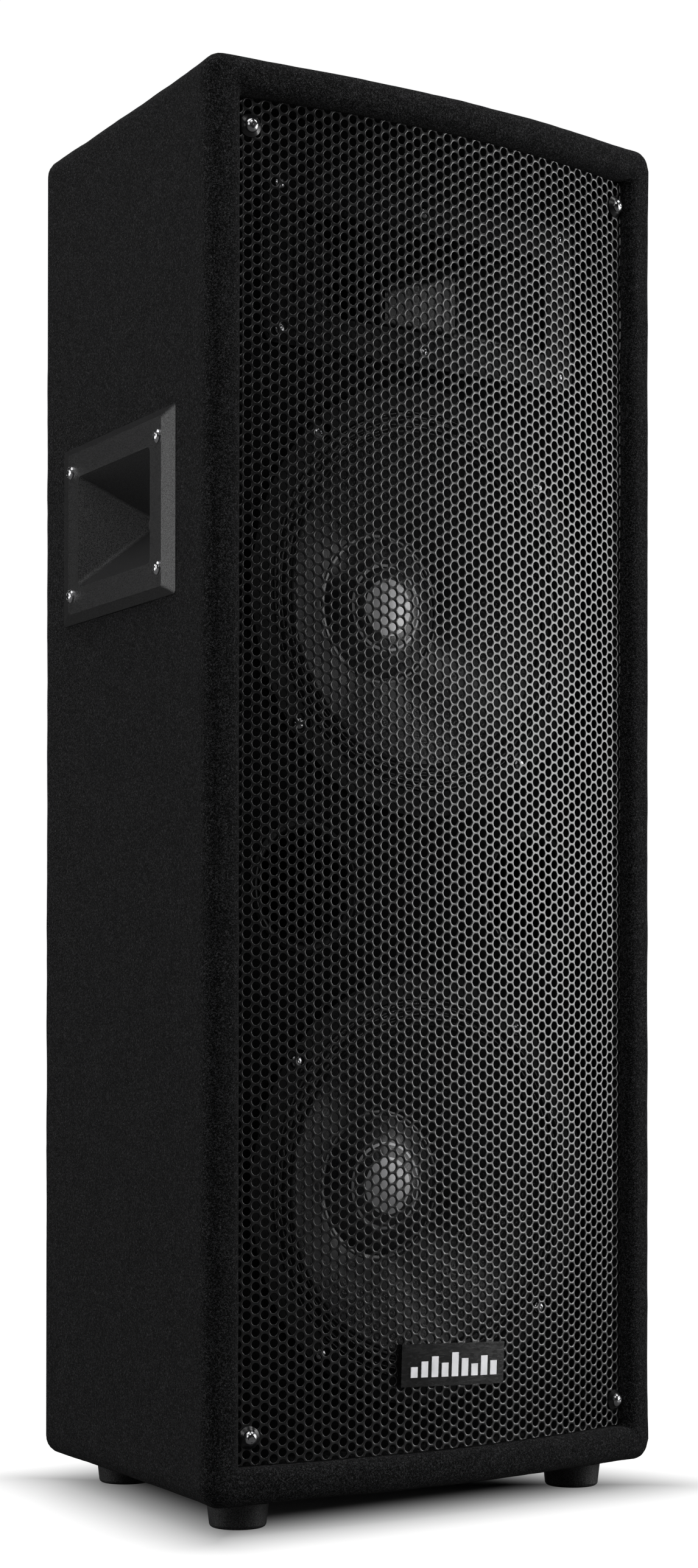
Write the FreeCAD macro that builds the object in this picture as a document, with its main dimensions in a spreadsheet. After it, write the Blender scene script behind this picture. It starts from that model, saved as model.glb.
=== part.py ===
import FreeCAD, Part
import os
import re

import Sketcher
from FreeCAD import Placement, Rotation, Vector

# A two-way PA loudspeaker cabinet: two 12 inch drivers, a horn and two ports behind a bowed steel grille,
# in a carpeted plywood case that narrows towards the back.
# Frame: origin on the floor in the middle of the footprint, +Z up, the grille faces -Y.

os.makedirs("parts", exist_ok=True)
doc = FreeCAD.newDocument("pa_speaker_cabinet")
sheet = doc.addObject("Spreadsheet::Sheet", "Dims")

# ---------------------------------------------------------------- driving dimensions (mm, degrees)
DIMS = {
    # case
    "cabinet_height": 990, "front_width": 420, "side_depth": 310, "side_taper": 13, "front_bow": 23,
    "rear_proud": 3, "dish_screw_head": 2.4, "carpet": 3.5, "panel": 19, "edge_radius": 11, "foot_height": 20,
    "baffle_depth": 26, "baffle_thickness": 18, "batten_size": 20, "batten_gap": 2, "run_out": 60,
    # grille and badge
    "grille_edge_depth": 5.4, "grille_sagitta": 22, "grille_gauge": 1.2, "grille_half_width": 181.5,
    "grille_gap": 1, "grille_screw_x": 171.7, "grille_screw_low": 45.7, "grille_screw_high": 944.4,
    "cup_radius": 8, "cup_inner": 5.4, "cup_height": 2.6, "cup_edge": 0.6, "post_radius": 6, "post_gap": 0.5,
    "badge_width": 95, "badge_height": 30, "badge_thickness": 4, "badge_rise": 86.6, "badge_x": -6.3,
    "badge_tilt": 2.1, "bar_width": 6.2, "bar_pitch": 9.2, "bar_height": 17, "bar_relief": 0.6,
    "bar_root": 0.4,
    # screws
    "head_share": 0.6, "thin_shank": 2, "thick_shank": 2.5, "grille_head": 5, "grille_screw_length": 30,
    "woofer_head": 4.6, "woofer_screw_length": 20, "horn_head": 4.2, "horn_screw_length": 20,
    "handle_head": 5, "handle_screw_length": 22, "foot_head": 5.5, "foot_screw_length": 28,
    "dish_screw_length": 18, "bore_front": 15, "bore_length": 60,
    "head_rim": 0.3, "head_crown": 0.72, "crown_rise": 0.8, "cross_reach": 0.55, "cross_half": 0.14,
    "cross_depth": 0.55,
    # how far a cutting shape runs past what it cuts, and how deep one shape sinks into the next
    "overrun": 5, "beyond": 1200, "joint_overlap": 0.5, "skim": 0.01, "sheet_gap": 0.2, "slot_gap": 6,
    # woofers
    "lower_woofer_rise": 209.8, "upper_woofer_rise": 633.8, "frame_radius": 155.4, "frame_gauge": 2,
    "frame_proud": 4.4, "cutout_radius": 140.5, "ring_inner": 137.4, "screw_circle": 294,
    "upper_screw_turn": 40, "lower_screw_turn": 51, "notch_radius": 8.7, "head_clearance": 5,
    "basket_mouth": 140, "basket_skirt": 12, "basket_shoulder": 78, "basket_neck": 64, "basket_bore": 30,
    "window_start": 20, "window_end": 64, "window_turn": 38, "surround_outer": 151, "cloth_gauge": 0.6,
    "fold_rise": 1.8, "surround_inner": 117, "skirt_draft": 1.6, "skirt_bend": 1, "inner_draft": 3.8,
    "shoulder_draft": 1.2, "edge_gap": 0.3, "cap_seat_share": 1.08, "neck_gauge": 1, "rim_drop": 1.6,
    "rim_rise": 1.2, "winding_gauge": 0.6, "former_overlap": 4, "spider_start": 1, "spider_low": 2.6,
    "spider_high": 4, "spider_root": 3, "spider_gauge": 0.5, "yoke_inset": 5, "shelf_depth": 14,
    "tag_strip_width": 32, "tag_strip_depth": 10, "tag_strip_gauge": 3, "tag_setback": 2, "tag_rear": 8,
    "tag_gauge": 1, "tag_length": 9, "tag_inner": 7, "tag_width": 5,
    "cone_edge": 122, "cone_depth": 62, "cone_gauge": 1, "former_radius": 26, "cap_radius": 53,
    "cap_rise": 13, "cap_gauge": 0.8, "coil_length": 40, "winding_length": 12, "former_wall": 0.4,
    "spider_outer": 74, "spider_pitch": 4, "magnet_radius": 75, "magnet_height": 20, "magnet_bore": 38,
    "gap_width": 1.2, "top_plate_radius": 60, "vent_radius": 6, "plate_thickness": 8, "basket_depth": 88,
    # horn and driver
    "horn_rise": 864.7, "horn_width": 291, "horn_height": 122, "mouth_width": 242, "mouth_height": 73,
    "horn_length": 110, "flare": 1.8, "flare_rise": 1.2, "mouth_corner": 6,
    "corner_growth": 6.4, "horn_wall": 3, "throat": 25.4, "horn_screw_x": 132, "horn_screw_z": 51,
    "horn_corner": 8, "throat_flange": 70, "throat_corner": 34.9, "throat_flange_gauge": 6,
    "driver_radius": 50, "dome_radius": 20.4, "dome_rise": 10.6, "dome_gauge": 0.6, "dome_wall": 0.8,
    "dome_skirt": 6, "throat_plate_radius": 44, "throat_plate_gauge": 6, "driver_yoke_gauge": 6,
    "driver_magnet_height": 15, "driver_magnet_bore": 29, "driver_top_gauge": 5, "driver_gap_radius": 21,
    "pole_radius": 19, "pole_bore": 15, "film_seat": 2, "film_gauge": 0.6, "film_fold": 23,
    "film_fold_rise": 1, "film_inner": 26, "film_outer": 48, "cover_bore": 44, "cover_depth": 22,
    "cover_gauge": 4, "cover_corner": 6,
    # ports
    "port_rise": 425.1, "port_offset": 106.4, "port_flange_radius": 47, "port_radius": 40.5,
    "port_wall": 3, "port_length": 95, "port_flange_gauge": 1, "port_flare": 4, "port_flare_depth": 3,
    "port_lip": 2.5, "port_bend": 0.9, "port_bend_rise": 0.7,
    # handles
    "handle_rise": 692.8, "handle_distance": 164, "handle_width": 217, "handle_height": 132,
    "handle_proud": 5, "handle_face_width": 181, "handle_face_height": 119, "handle_face_shift": 4,
    "scoop_width": 140, "scoop_height": 82, "scoop_depth": 38, "scoop_corner": 5,
    "scoop_floor_width": 102, "scoop_floor_height": 12, "scoop_floor_rise": 3.5, "scoop_floor_shift": 14.5,
    "handle_wall": 3, "bezel_corner": 3, "handle_screw_x": 84, "handle_screw_z": 46,
    "handle_hole_corner": 3.5,
    # feet
    "foot_radius": 22, "foot_taper": 2, "front_foot_x": 157.4, "front_foot_back": 34.4,
    "rear_foot_x": 96.9, "rear_foot_back": 257.4, "foot_edge": 3, "foot_well": 7, "foot_well_depth": 11,
    # rear terminals and crossover
    "dish_rise": 500, "dish_width": 170, "dish_height": 110, "dish_depth": 30, "dish_wall": 3,
    "jack_x": 42, "jack_z": 19, "plug_radius": 3.2, "bushing_radius": 5.5, "block_x": 26,
    "block_width": 54, "block_height": 38, "block_depth": 14, "lever_pitch": 24, "lever_width": 15,
    "lever_height": 18, "lever_gauge": 4, "axle_radius": 1.2, "board_rise": 310, "board_width": 150,
    "board_height": 100, "board_gauge": 1.6, "board_standoff": 8, "wire_radius": 1.6, "wire_gap": 0.6,
    "dish_screw_inset": 9, "dish_ledge_x": 16, "dish_ledge_z": 11, "dish_corner": 8, "box_inset_x": 17,
    "box_inset_z": 12, "box_corner": 9, "bushing_length": 6, "socket_radius": 9, "socket_length": 26,
    "socket_bore_depth": 24, "nut_radius": 8, "nut_gauge": 3, "lever_play": 0.5, "lever_sink": 0.5,
    "lever_head": 2, "well_floor": 2, "well_gap": 1, "axle_headroom": 4, "axle_fit": 0.05, "axle_reach": 2,
    "bearing_reach": 2.5, "wire_hole_radius": 1.8, "wire_hole_depth": 3, "wire_hole_drop": 5,
    "rib_inset": 2, "rib_root": 0.7, "rib_proud": 1.2, "rib_low": 2, "rib_high": 5,
    "leg_radius": 4, "leg_inset": 8, "coil_x": 38, "coil_rise": 20, "coil_bore": 11, "coil_core": 13,
    "coil_outer": 22, "coil_height": 22, "coil_flange": 2, "capacitor_radius": 8, "capacitor_length": 32,
    "capacitor_pitch": 44, "capacitor_start": 60, "capacitor_drop": 18, "resistor_gauge": 9,
    "resistor_length": 40, "resistor_pitch": 50, "resistor_start": 46, "resistor_drop": 42,
    # damping pad
    "pad_width": 150, "pad_gauge": 28, "pad_gap": 1, "pad_low": 10, "pad_high": 200, "pad_round": 10,
}
# ---------------------------------------------------------------- dimensions that follow from them
DERIVED = {
    "front_y": "front_bow - (front_bow + side_depth + rear_proud + dish_screw_head) / 2",
    "back_y": "front_y + side_depth",
    "wall": "carpet + panel",
    "lip": "wall + carpet",
    "baffle_y": "front_y + baffle_depth",
    "grille_edge_y": "front_y + grille_edge_depth",
    "grille_front_y": "grille_edge_y - grille_sagitta",
    "grille_bend": "(grille_half_width ^ 2 + grille_sagitta ^ 2) / (2 * grille_sagitta)",
    "grille_tilt": "asin(grille_screw_x / grille_bend)",
    "cap_bend": "(cap_radius ^ 2 + cap_rise ^ 2) / (2 * cap_rise)",
    "dome_bend": "(dome_radius ^ 2 + dome_rise ^ 2) / (2 * dome_rise)",
    "lower_woofer_z": "foot_height + lower_woofer_rise",
    "upper_woofer_z": "foot_height + upper_woofer_rise",
    "horn_z": "foot_height + horn_rise",
    "port_z": "foot_height + port_rise",
    "badge_z": "foot_height + badge_rise",
    "dish_z": "foot_height + dish_rise",
    "board_z": "foot_height + board_rise",
    "board_y": "back_y - wall - board_standoff - board_gauge",
    "shelf": "basket_depth - shelf_depth",
    "plate_rear": "horn_length + throat_plate_gauge",
    "yoke_rear": "plate_rear + driver_yoke_gauge",
    "magnet_rear": "yoke_rear + driver_magnet_height",
    "top_rear": "magnet_rear + driver_top_gauge",
    "film_rear": "top_rear + film_seat",
    "cover_rear": "film_rear + cover_depth",
    "lip_front": "0 - frame_gauge - cloth_gauge",
    "lever_y": "0 - dish_depth + block_depth - lever_gauge",
    "lever_pivot_z": "lever_height / 2 - lever_head",
}


def bound(text):
    """The expression as the document reads it: every alias is looked up in the sheet."""
    return re.sub(r"\b[a-z]+(?:_[a-z]+)*\b(?!\()", lambda word: word.group()
                  if word.group() not in NAMES else "Dims." + word.group(), str(text))


def size(text):
    """The value of an expression, for a shape's first position."""
    return float(sheet.evalExpression(bound(text)))


NAMES = set(DIMS) | set(DERIVED)
for row, (alias, amount) in enumerate(DIMS.items(), start=1):
    sheet.set("A%d" % row, alias)
    sheet.set("B%d" % row, str(amount))
    sheet.setAlias("B%d" % row, alias)
doc.recompute()
for row, (alias, formula) in enumerate(DERIVED.items(), start=len(DIMS) + 1):
    sheet.set("A%d" % row, alias)
    sheet.setAlias("B%d" % row, alias)
    sheet.set("B%d" % row, "=" + re.sub(r"Dims\.", "", bound(formula)))
    doc.recompute()


# ---------------------------------------------------------------- sketch and feature helpers
def new_body(label, base=("0", "0", "0"), turn="0", axle=Vector(0, 0, 1)):
    body = doc.addObject("PartDesign::Body", label)
    body.Label = label
    for axis, text in zip("xyz", base):
        body.setExpression("Placement.Base." + axis, bound(text))
    if turn != "0":
        body.Placement = Placement(Vector(), Rotation(axle, size(turn)))
        body.setExpression("Placement.Rotation.Angle", bound(turn))
    return body


def pin_point(sketch, geometry, end, across, up):
    """Fix one sketch point at two sheet expressions; a plain 0 puts it on the axis."""
    for kind, text, axis in (("DistanceX", across, -2), ("DistanceY", up, -1)):
        if text == "0":
            sketch.addConstraint(Sketcher.Constraint("PointOnObject", geometry, end, axis))
        else:
            index = sketch.addConstraint(Sketcher.Constraint(kind, -1, 1, geometry, end, size(text)))
            sketch.setExpression("Constraints[%d]" % index, bound(text))


def outline(body, plane, corners, level="0"):
    """A closed outline on the body's own plane. A corner is (across, up); a corner with four
    entries is reached by an arc through the point (entries three and four)."""
    sketch = body.newObject("Sketcher::SketchObject", body.Name + "_outline")
    support = [item for item in body.Origin.OriginFeatures if item.Role == plane][0]
    sketch.AttachmentSupport = (support, [""])
    sketch.MapMode = "FlatFace"
    if level != "0":
        sketch.setExpression("AttachmentOffset.Base.z", bound(level))
    ends = []
    for index, corner in enumerate(corners):
        before = Vector(size(corners[index - 1][0]), size(corners[index - 1][1]))
        after = Vector(size(corner[0]), size(corner[1]))
        if len(corner) == 2:
            geometry = sketch.addGeometry(Part.LineSegment(before, after), False)
            ends.append((geometry, 1, 2))
        else:
            middle = Vector(size(corner[2]), size(corner[3]))
            geometry = sketch.addGeometry(Part.Arc(before, middle, after), False)
            forward = sketch.getPoint(geometry, 1).isEqual(before, 1e-6)
            ends.append((geometry, 1, 2) if forward else (geometry, 2, 1))
    for index, corner in enumerate(corners):
        geometry, start, finish = ends[index]
        following = ends[(index + 1) % len(corners)]
        sketch.addConstraint(Sketcher.Constraint("Coincident", geometry, finish, following[0], following[1]))
        pin_point(sketch, geometry, finish, corner[0], corner[1])
        if len(corner) == 4:
            guide = sketch.addGeometry(Part.Point(Vector(size(corner[2]), size(corner[3]))), True)
            pin_point(sketch, guide, 1, corner[2], corner[3])
            sketch.addConstraint(Sketcher.Constraint("PointOnObject", guide, 1, geometry))
    return sketch


def rounded_rectangle(width, height, radius, across="0", up="0"):
    """Corner list of a rounded rectangle centred on (across, up)."""
    mid = "0.292893 * (%s)" % radius
    left, right = "%s - %s / 2" % (across, width), "%s + %s / 2" % (across, width)
    low, high = "%s - %s / 2" % (up, height), "%s + %s / 2" % (up, height)
    plus, minus = " + " + str(radius), " - (%s)" % radius
    return [
        (right + minus, low),
        (right, low + plus, right + " - " + mid, low + " + " + mid),
        (right, high + minus),
        (right + minus, high, right + " - " + mid, high + " - " + mid),
        (left + plus, high),
        (left, high + minus, left + " + " + mid, high + " - " + mid),
        (left, low + plus),
        (left + plus, low, left + " + " + mid, low + " + " + mid),
    ]


def feature(body, kind, sketch, **options):
    """Add one PartDesign feature made from a sketch and make it the body's tip."""
    made = body.newObject("PartDesign::" + kind, "%s_%s" % (body.Name, kind))
    made.Profile = sketch
    for name, amount in options.items():
        if isinstance(amount, str) and name in ("Length", "Angle"):
            made.setExpression(name, bound(amount))
        else:
            setattr(made, name, amount)
    body.Tip = made
    doc.recompute()
    return made


def turned(label, corners, base=("0", "0", "0"), plane="XY_Plane"):
    """A body of revolution: corners are (radius, distance along the axis)."""
    body = new_body(label, base)
    sketch = outline(body, plane, corners)
    feature(body, "Revolution", sketch, ReferenceAxis=(sketch, ["V_Axis"]), Angle=360)
    return body


def loft(body, kind, sections):
    """Loft through rounded rectangles on the XZ plane: each is (y, corner list)."""
    sketches = [outline(body, "XZ_Plane", corners, level="0 - (%s)" % y) for y, corners in sections]
    return feature(body, kind, sketches[0], Sections=sketches[1:], Ruled=True)


def block(label, low, high):
    """Part::Box between two corners given as expressions."""
    box = doc.addObject("Part::Box", label)
    for side, axis, start, end in zip(("Length", "Width", "Height"), "xyz", low, high):
        box.setExpression(side, bound("(%s) - (%s)" % (end, start)))
        box.setExpression("Placement.Base." + axis, bound(start))
    return box


def rod(label, radius, start, length, direction=Vector(0, 1, 0)):
    """Part::Cylinder from a start point along a fixed direction."""
    cylinder = doc.addObject("Part::Cylinder", label)
    cylinder.setExpression("Radius", bound(radius))
    cylinder.setExpression("Height", bound(length))
    cylinder.Placement = Placement(Vector(), Rotation(Vector(0, 0, 1), direction))
    for axis, text in zip("xyz", start):
        cylinder.setExpression("Placement.Base." + axis, bound(text))
    return cylinder


def combine(kind, label, base, tool):
    """Part::Cut, Part::Common or Part::Fuse of two objects."""
    made = doc.addObject("Part::" + kind, label)
    made.Base = base
    made.Tool = tool
    made.Label = label
    return made


def bundle(label, items):
    """Part::Compound of several objects, which stay separate solids."""
    made = doc.addObject("Part::Compound", label)
    made.Links = items
    made.Label = label
    return made


def drilled(label, base, radius, spots, start_y, length):
    """Cut straight holes along Y through an object; spots are (x, z) expressions."""
    pins = [rod("%s_pin_%d" % (label, n), radius, (x, start_y, z), length) for n, (x, z) in enumerate(spots)]
    return combine("Cut", label, base, bundle(label + "_pins", pins))


def copies(label, master, places):
    """Separate copies of one fastener. Its shape comes from the master, so it is a plain feature."""
    made = doc.addObject("Part::Feature", label)
    made.Shape = Part.Compound([master.Shape.transformed(place.toMatrix()) for place in places])
    made.Label = label
    return made


def place_at(spot, rotation=Rotation()):
    return Placement(Vector(*[size(text) for text in spot]), rotation)


def screw(label, head_radius, shank_radius, length):
    """Pan-head screw with a cross recess, head towards -Y, seat at y = 0."""
    rise = "(head_share * %s)" % head_radius
    body = turned(label, [
        ("0", "0 - " + rise),
        (head_radius, "0 - head_rim * " + rise, "head_crown * " + head_radius, "0 - crown_rise * " + rise),
        (head_radius, "0"),
        (shank_radius, "0"),
        (shank_radius, length + " - " + shank_radius),
        ("0", length),
    ])
    arm, half = "cross_reach * %s" % head_radius, "cross_half * %s" % head_radius
    cross = [(arm, half), (half, half), (half, arm), ("0 - " + half, arm), ("0 - " + half, half),
             ("0 - " + arm, half), ("0 - " + arm, "0 - " + half), ("0 - " + half, "0 - " + half),
             ("0 - " + half, "0 - " + arm), (half, "0 - " + arm), (half, "0 - " + half), (arm, "0 - " + half)]
    feature(body, "Pocket", outline(body, "XZ_Plane", cross, level=rise), Length="cross_depth * " + rise)
    doc.recompute()
    return body


# ---------------------------------------------------------------- the case
def half_width(inset, back="0"):
    """Half of the plan's width, with its sides moved in, at a distance behind the front corners."""
    return "(front_width / 2 - (%s) / cos(side_taper) - (%s) * tan(side_taper))" % (inset, back)


def case_envelope(label, inset):
    """The case's plan, bowed in front, raised to its height and rounded on every edge."""
    body = new_body(label, ("0", "0", "foot_height + " + inset))
    front, back = half_width(inset, inset), half_width(inset, "side_depth - " + inset)
    sketch = outline(body, "XY_Plane", [
        ("0 - " + back, "back_y - " + inset),
        ("0 - " + front, "front_y + " + inset),
        (front, "front_y + " + inset, "0", "front_y - front_bow + " + inset),
        (back, "back_y - " + inset),
    ])
    prism = feature(body, "Pad", sketch, Length="cabinet_height - 2 * " + inset)
    rounding = body.newObject("PartDesign::Fillet", label + "_rounding")
    rounding.Base = (prism, ["Edge%d" % (n + 1) for n in range(len(prism.Shape.Edges))])
    rounding.setExpression("Radius", bound("edge_radius - " + inset))
    body.Tip = rounding
    doc.recompute()
    return body


def inner_wedge(label, inset):
    """The space between the side walls, run out past the front and the back."""
    body = new_body(label, ("0", "0", "foot_height + " + inset))
    front, back = half_width(inset, "0 - run_out"), half_width(inset, "side_depth + run_out")
    sketch = outline(body, "XY_Plane", [
        ("0 - " + back, "back_y + run_out"), ("0 - " + front, "front_y - run_out"),
        (front, "front_y - run_out"), (back, "back_y + run_out"),
    ])
    feature(body, "Pad", sketch, Length="cabinet_height - 2 * " + inset)
    return body


def slab(label, low_y, high_y, low_z="0", high_z="beyond", low_x="0 - beyond", high_x="beyond"):
    return block(label, (low_x, low_y, low_z), (high_x, high_y, high_z))


def handle_body(label, side):
    """A body whose +Y points out of a side wall at the handle, +X towards the back on the left."""
    reach = "(front_width / 2 - handle_distance * sin(side_taper))"
    return new_body(label, ("%d * %s" % (side, reach), "front_y + handle_distance * cos(side_taper)",
                            "foot_height + handle_rise"), "%d * (90 - side_taper)" % -side)


def handle_spots():
    """Screw places on a handle's face, in the handle's own frame, measured towards the back."""
    return [(x * size("handle_screw_x") - size("handle_face_shift"), z * size("handle_screw_z"))
            for x in (-1, 1) for z in (-1, 1)]


def foot_spots():
    return [("%d * front_foot_x" % side, "front_y + front_foot_back") for side in (-1, 1)] + \
           [("%d * rear_foot_x" % side, "front_y + rear_foot_back") for side in (-1, 1)]


def woofer_spots(rise, turn):
    """Four screw places around a woofer, as (x, z)."""
    return [("screw_circle / 2 * cos(%s + %d)" % (turn, 90 * n),
             "%s + screw_circle / 2 * sin(%s + %d)" % (rise, turn, 90 * n)) for n in range(4)]


def horn_spots():
    return [("%d * horn_screw_x" % x, "horn_z + %d * horn_screw_z" % z) for x in (-1, 0, 1) for z in (-1, 1)]


def dish_spots():
    return [("%d * (dish_width / 2 - dish_screw_inset)" % x,
             "dish_z + %d * (dish_height / 2 - dish_screw_inset)" % z)
            for x in (-1, 1) for z in (-1, 1)]


WOOFERS = (("upper", "upper_woofer_z", "upper_screw_turn"), ("lower", "lower_woofer_z", "lower_screw_turn"))
SIDES = (("left", -1), ("right", 1))
FLANGE_BORE = ("baffle_y - 2 * overrun", "4 * overrun")
parts = []

outer = case_envelope("outer_envelope", "0")
wood = case_envelope("wood_envelope", "carpet")
wedge = inner_wedge("wall_wedge", "wall")
opening = inner_wedge("lip_wedge", "lip")

foot_pins = [rod("foot_pin_%d" % n, "thick_shank", (x, y, "foot_height - overrun"), "wall + overrun",
                 Vector(0, 0, 1))
             for n, (x, y) in enumerate(foot_spots())]
foot_holes = bundle("foot_holes", foot_pins)
handle_pin = rod("handle_pin", "thin_shank", ("0", "0 - bore_length / 2", "0"), "bore_length")
doc.recompute()
handle_tools = []
for name, side in SIDES:
    body = handle_body("handle_cutout_" + name, side)
    hole = rounded_rectangle("(scoop_width + 2 * handle_wall)", "(scoop_height + 2 * handle_wall)",
                             "handle_hole_corner", "%d * handle_face_shift" % side)
    feature(body, "Pad", outline(body, "XZ_Plane", hole, level="0 - run_out / 2"),
            Length="run_out + 4 * overrun")
    spots = [Placement(Vector(-side * x, 0, z), Rotation()) for x, z in handle_spots()]
    pins = copies("handle_pins_" + name, handle_pin, [body.Placement.multiply(spot) for spot in spots])
    handle_tools.append(bundle("handle_tool_" + name, [body, pins]))
dish_hole = slab("dish_hole", "back_y - wall - overrun", "back_y + overrun",
                 "dish_z - dish_height / 2 + dish_ledge_z", "dish_z + dish_height / 2 - dish_ledge_z",
                 "0 - dish_width / 2 + dish_ledge_x", "dish_width / 2 - dish_ledge_x")
dish_pins = [rod("dish_pin_%d" % n, "thin_shank", (x, "back_y - wall - overrun", z), "wall + 2 * overrun")
             for n, (x, z) in enumerate(dish_spots())]
dish_tool = bundle("dish_tool", [dish_hole] + dish_pins)
grille_pin = rod("grille_pin", "thin_shank", ("0", "0 - bore_front", "0"), "bore_length")


def case_panels():
    low, high = "foot_height + wall", "foot_height + cabinet_height - wall"
    top = combine("Common", "top_panel", wood, slab("top_slab", "0 - beyond", "beyond", high))
    bottom = combine("Common", "bottom_blank", wood, slab("bottom_slab", "0 - beyond", "beyond", "0", low))
    parts.extend([top, combine("Cut", "bottom_panel", bottom, foot_holes)])
    for (name, side), tool in zip(SIDES, handle_tools):
        edges = ("0 - beyond", "0") if side < 0 else ("0", "beyond")
        cutter = slab("slab_" + name, "0 - beyond", "beyond", low, high, *edges)
        half = combine("Common", "half_" + name, wood, cutter)
        blank = combine("Cut", "side_blank_" + name, half, wedge)
        parts.append(combine("Cut", "side_panel_" + name, blank, tool))
    back = combine("Common", "back_blank", wedge, slab("back_slab", "back_y - wall", "back_y - carpet"))
    parts.append(combine("Cut", "back_panel", back, dish_tool))


def front_baffle():
    """Baffle board with its two woofer holes, two port holes, horn slot and screw holes."""
    board = slab("baffle_slab", "baffle_y", "baffle_y + baffle_thickness")
    blank = combine("Common", "baffle_blank", wedge, board)
    reach = ("baffle_y - overrun", "baffle_thickness + 2 * overrun")
    tools = [rod(name + "_cutout", "cutout_radius", ("0", reach[0], z), reach[1])
             for name, z, turn in WOOFERS]
    tools += [rod("port_cutout_%d" % n, "port_radius + port_wall",
                  ("%d * port_offset" % n, reach[0], "port_z"), reach[1]) for n in (-1, 1)]
    half_slot, slot_rise = "(mouth_width / 2 + slot_gap)", "(mouth_height / 2 + slot_gap)"
    tools.append(slab("horn_slot", reach[0], "baffle_y + baffle_thickness + overrun",
                      "horn_z - " + slot_rise, "horn_z + " + slot_rise, "0 - " + half_slot, half_slot))
    for name, z, turn in WOOFERS:
        tools += [rod(name + "_pilot", "thick_shank", (x, reach[0], up), reach[1])
                  for x, up in woofer_spots(z, turn)]
    tools += [rod("horn_pilot", "thin_shank", (x, reach[0], z), reach[1]) for x, z in horn_spots()]
    tools.append(grille_pins)
    parts.append(combine("Cut", "baffle", blank, bundle("baffle_tools", tools)))
    frame = combine("Common", "batten_slab", wedge, slab("batten_band", "baffle_y + baffle_thickness",
                    "baffle_y + baffle_thickness + batten_size"))
    inner = "port_offset + port_radius + port_wall + batten_gap"
    gap = slab("batten_space", "0 - beyond", "beyond", "0", "beyond", "0 - (%s)" % inner, inner)
    parts.append(combine("Cut", "baffle_battens", frame, gap))


def carpet():
    """Carpet skin around the case, turned in over the front lip as far as the baffle."""
    skin = combine("Cut", "carpet_skin", outer, wood)
    front = slab("front_band", "front_y - run_out", "baffle_y")
    ring = combine("Cut", "lip_ring", combine("Common", "front_wedge", wedge, front), opening)
    lining = combine("Common", "lip_lining", outer, ring)
    joined = combine("Fuse", "carpet_joined", skin, lining)
    mouth = combine("Common", "front_mouth", opening, front)
    tool = bundle("carpet_tools", [mouth, foot_holes, dish_tool] + handle_tools)
    parts.append(combine("Cut", "carpet_cover", joined, tool))


# ---------------------------------------------------------------- grille, its fixings and the badge
def grille_frames():
    """Placements normal to the grille at its four screws: +Y runs into the cabinet."""
    frames = []
    for side in (-1, 1):
        angle = side * size("grille_tilt")
        depth = size("grille_front_y + grille_bend - grille_bend * cos(grille_tilt)")
        for rise in ("grille_screw_low", "grille_screw_high"):
            spot = Vector(side * size("grille_screw_x"), depth, size("foot_height + " + rise))
            frames.append(Placement(spot, Rotation(Vector(0, 0, 1), angle)))
    return frames


def grille_sheet():
    """Bowed sheet with a return along each side that reaches back to the baffle."""
    body = new_body("grille_blank", ("0", "0", "foot_height + lip + grille_gap"))
    inner = "grille_half_width - grille_gauge"
    heel = "baffle_y - sheet_gap"
    lean = "(%s - grille_edge_y) * tan(side_taper)" % heel
    sketch = outline(body, "XY_Plane", [
        ("0 - grille_half_width", "grille_edge_y"),
        ("grille_half_width", "grille_edge_y", "0", "grille_front_y"),
        ("grille_half_width - " + lean, heel),
        ("%s - %s" % (inner, lean), heel),
        (inner, "grille_edge_y + grille_gauge"),
        ("0 - (%s)" % inner, "grille_edge_y + grille_gauge", "0", "grille_front_y + grille_gauge"),
        ("%s - (%s)" % (lean, inner), heel),
        ("%s - grille_half_width" % lean, heel),
    ])
    feature(body, "Pad", sketch, Length="cabinet_height - 2 * (lip + grille_gap)")
    sheet_cut = combine("Cut", "grille", body, grille_pins)
    parts.append(sheet_cut)
    return sheet_cut


def grille_fixings():
    """Screw, cup washer and spacer post at each corner."""
    master = screw("grille_screw", "grille_head", "thin_shank", "grille_screw_length")
    lift = Placement(Vector(0, -size("cup_height"), 0), Rotation())
    parts.append(copies("grille_screws", master, [frame.multiply(lift) for frame in GRILLE_FRAMES]))
    cup = turned("cup_washer", [
        ("cup_radius", "0"), ("cup_radius", "0 - cup_edge"), ("cup_inner", "0 - cup_height"),
        ("thin_shank", "0 - cup_height"), ("thin_shank", "0"),
    ])
    doc.recompute()
    parts.append(copies("grille_cup_washers", cup, GRILLE_FRAMES))
    behind = "grille_gauge + post_gap"
    post = turned("spacer_post", [
        ("thin_shank", behind), ("post_radius", behind), ("post_radius", "bore_length"),
        ("thin_shank", "bore_length")])
    doc.recompute()
    posts = copies("post_blanks", post, GRILLE_FRAMES)
    parts.append(combine("Cut", "grille_posts", posts, slab("behind_baffle", "baffle_y", "0")))


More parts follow.
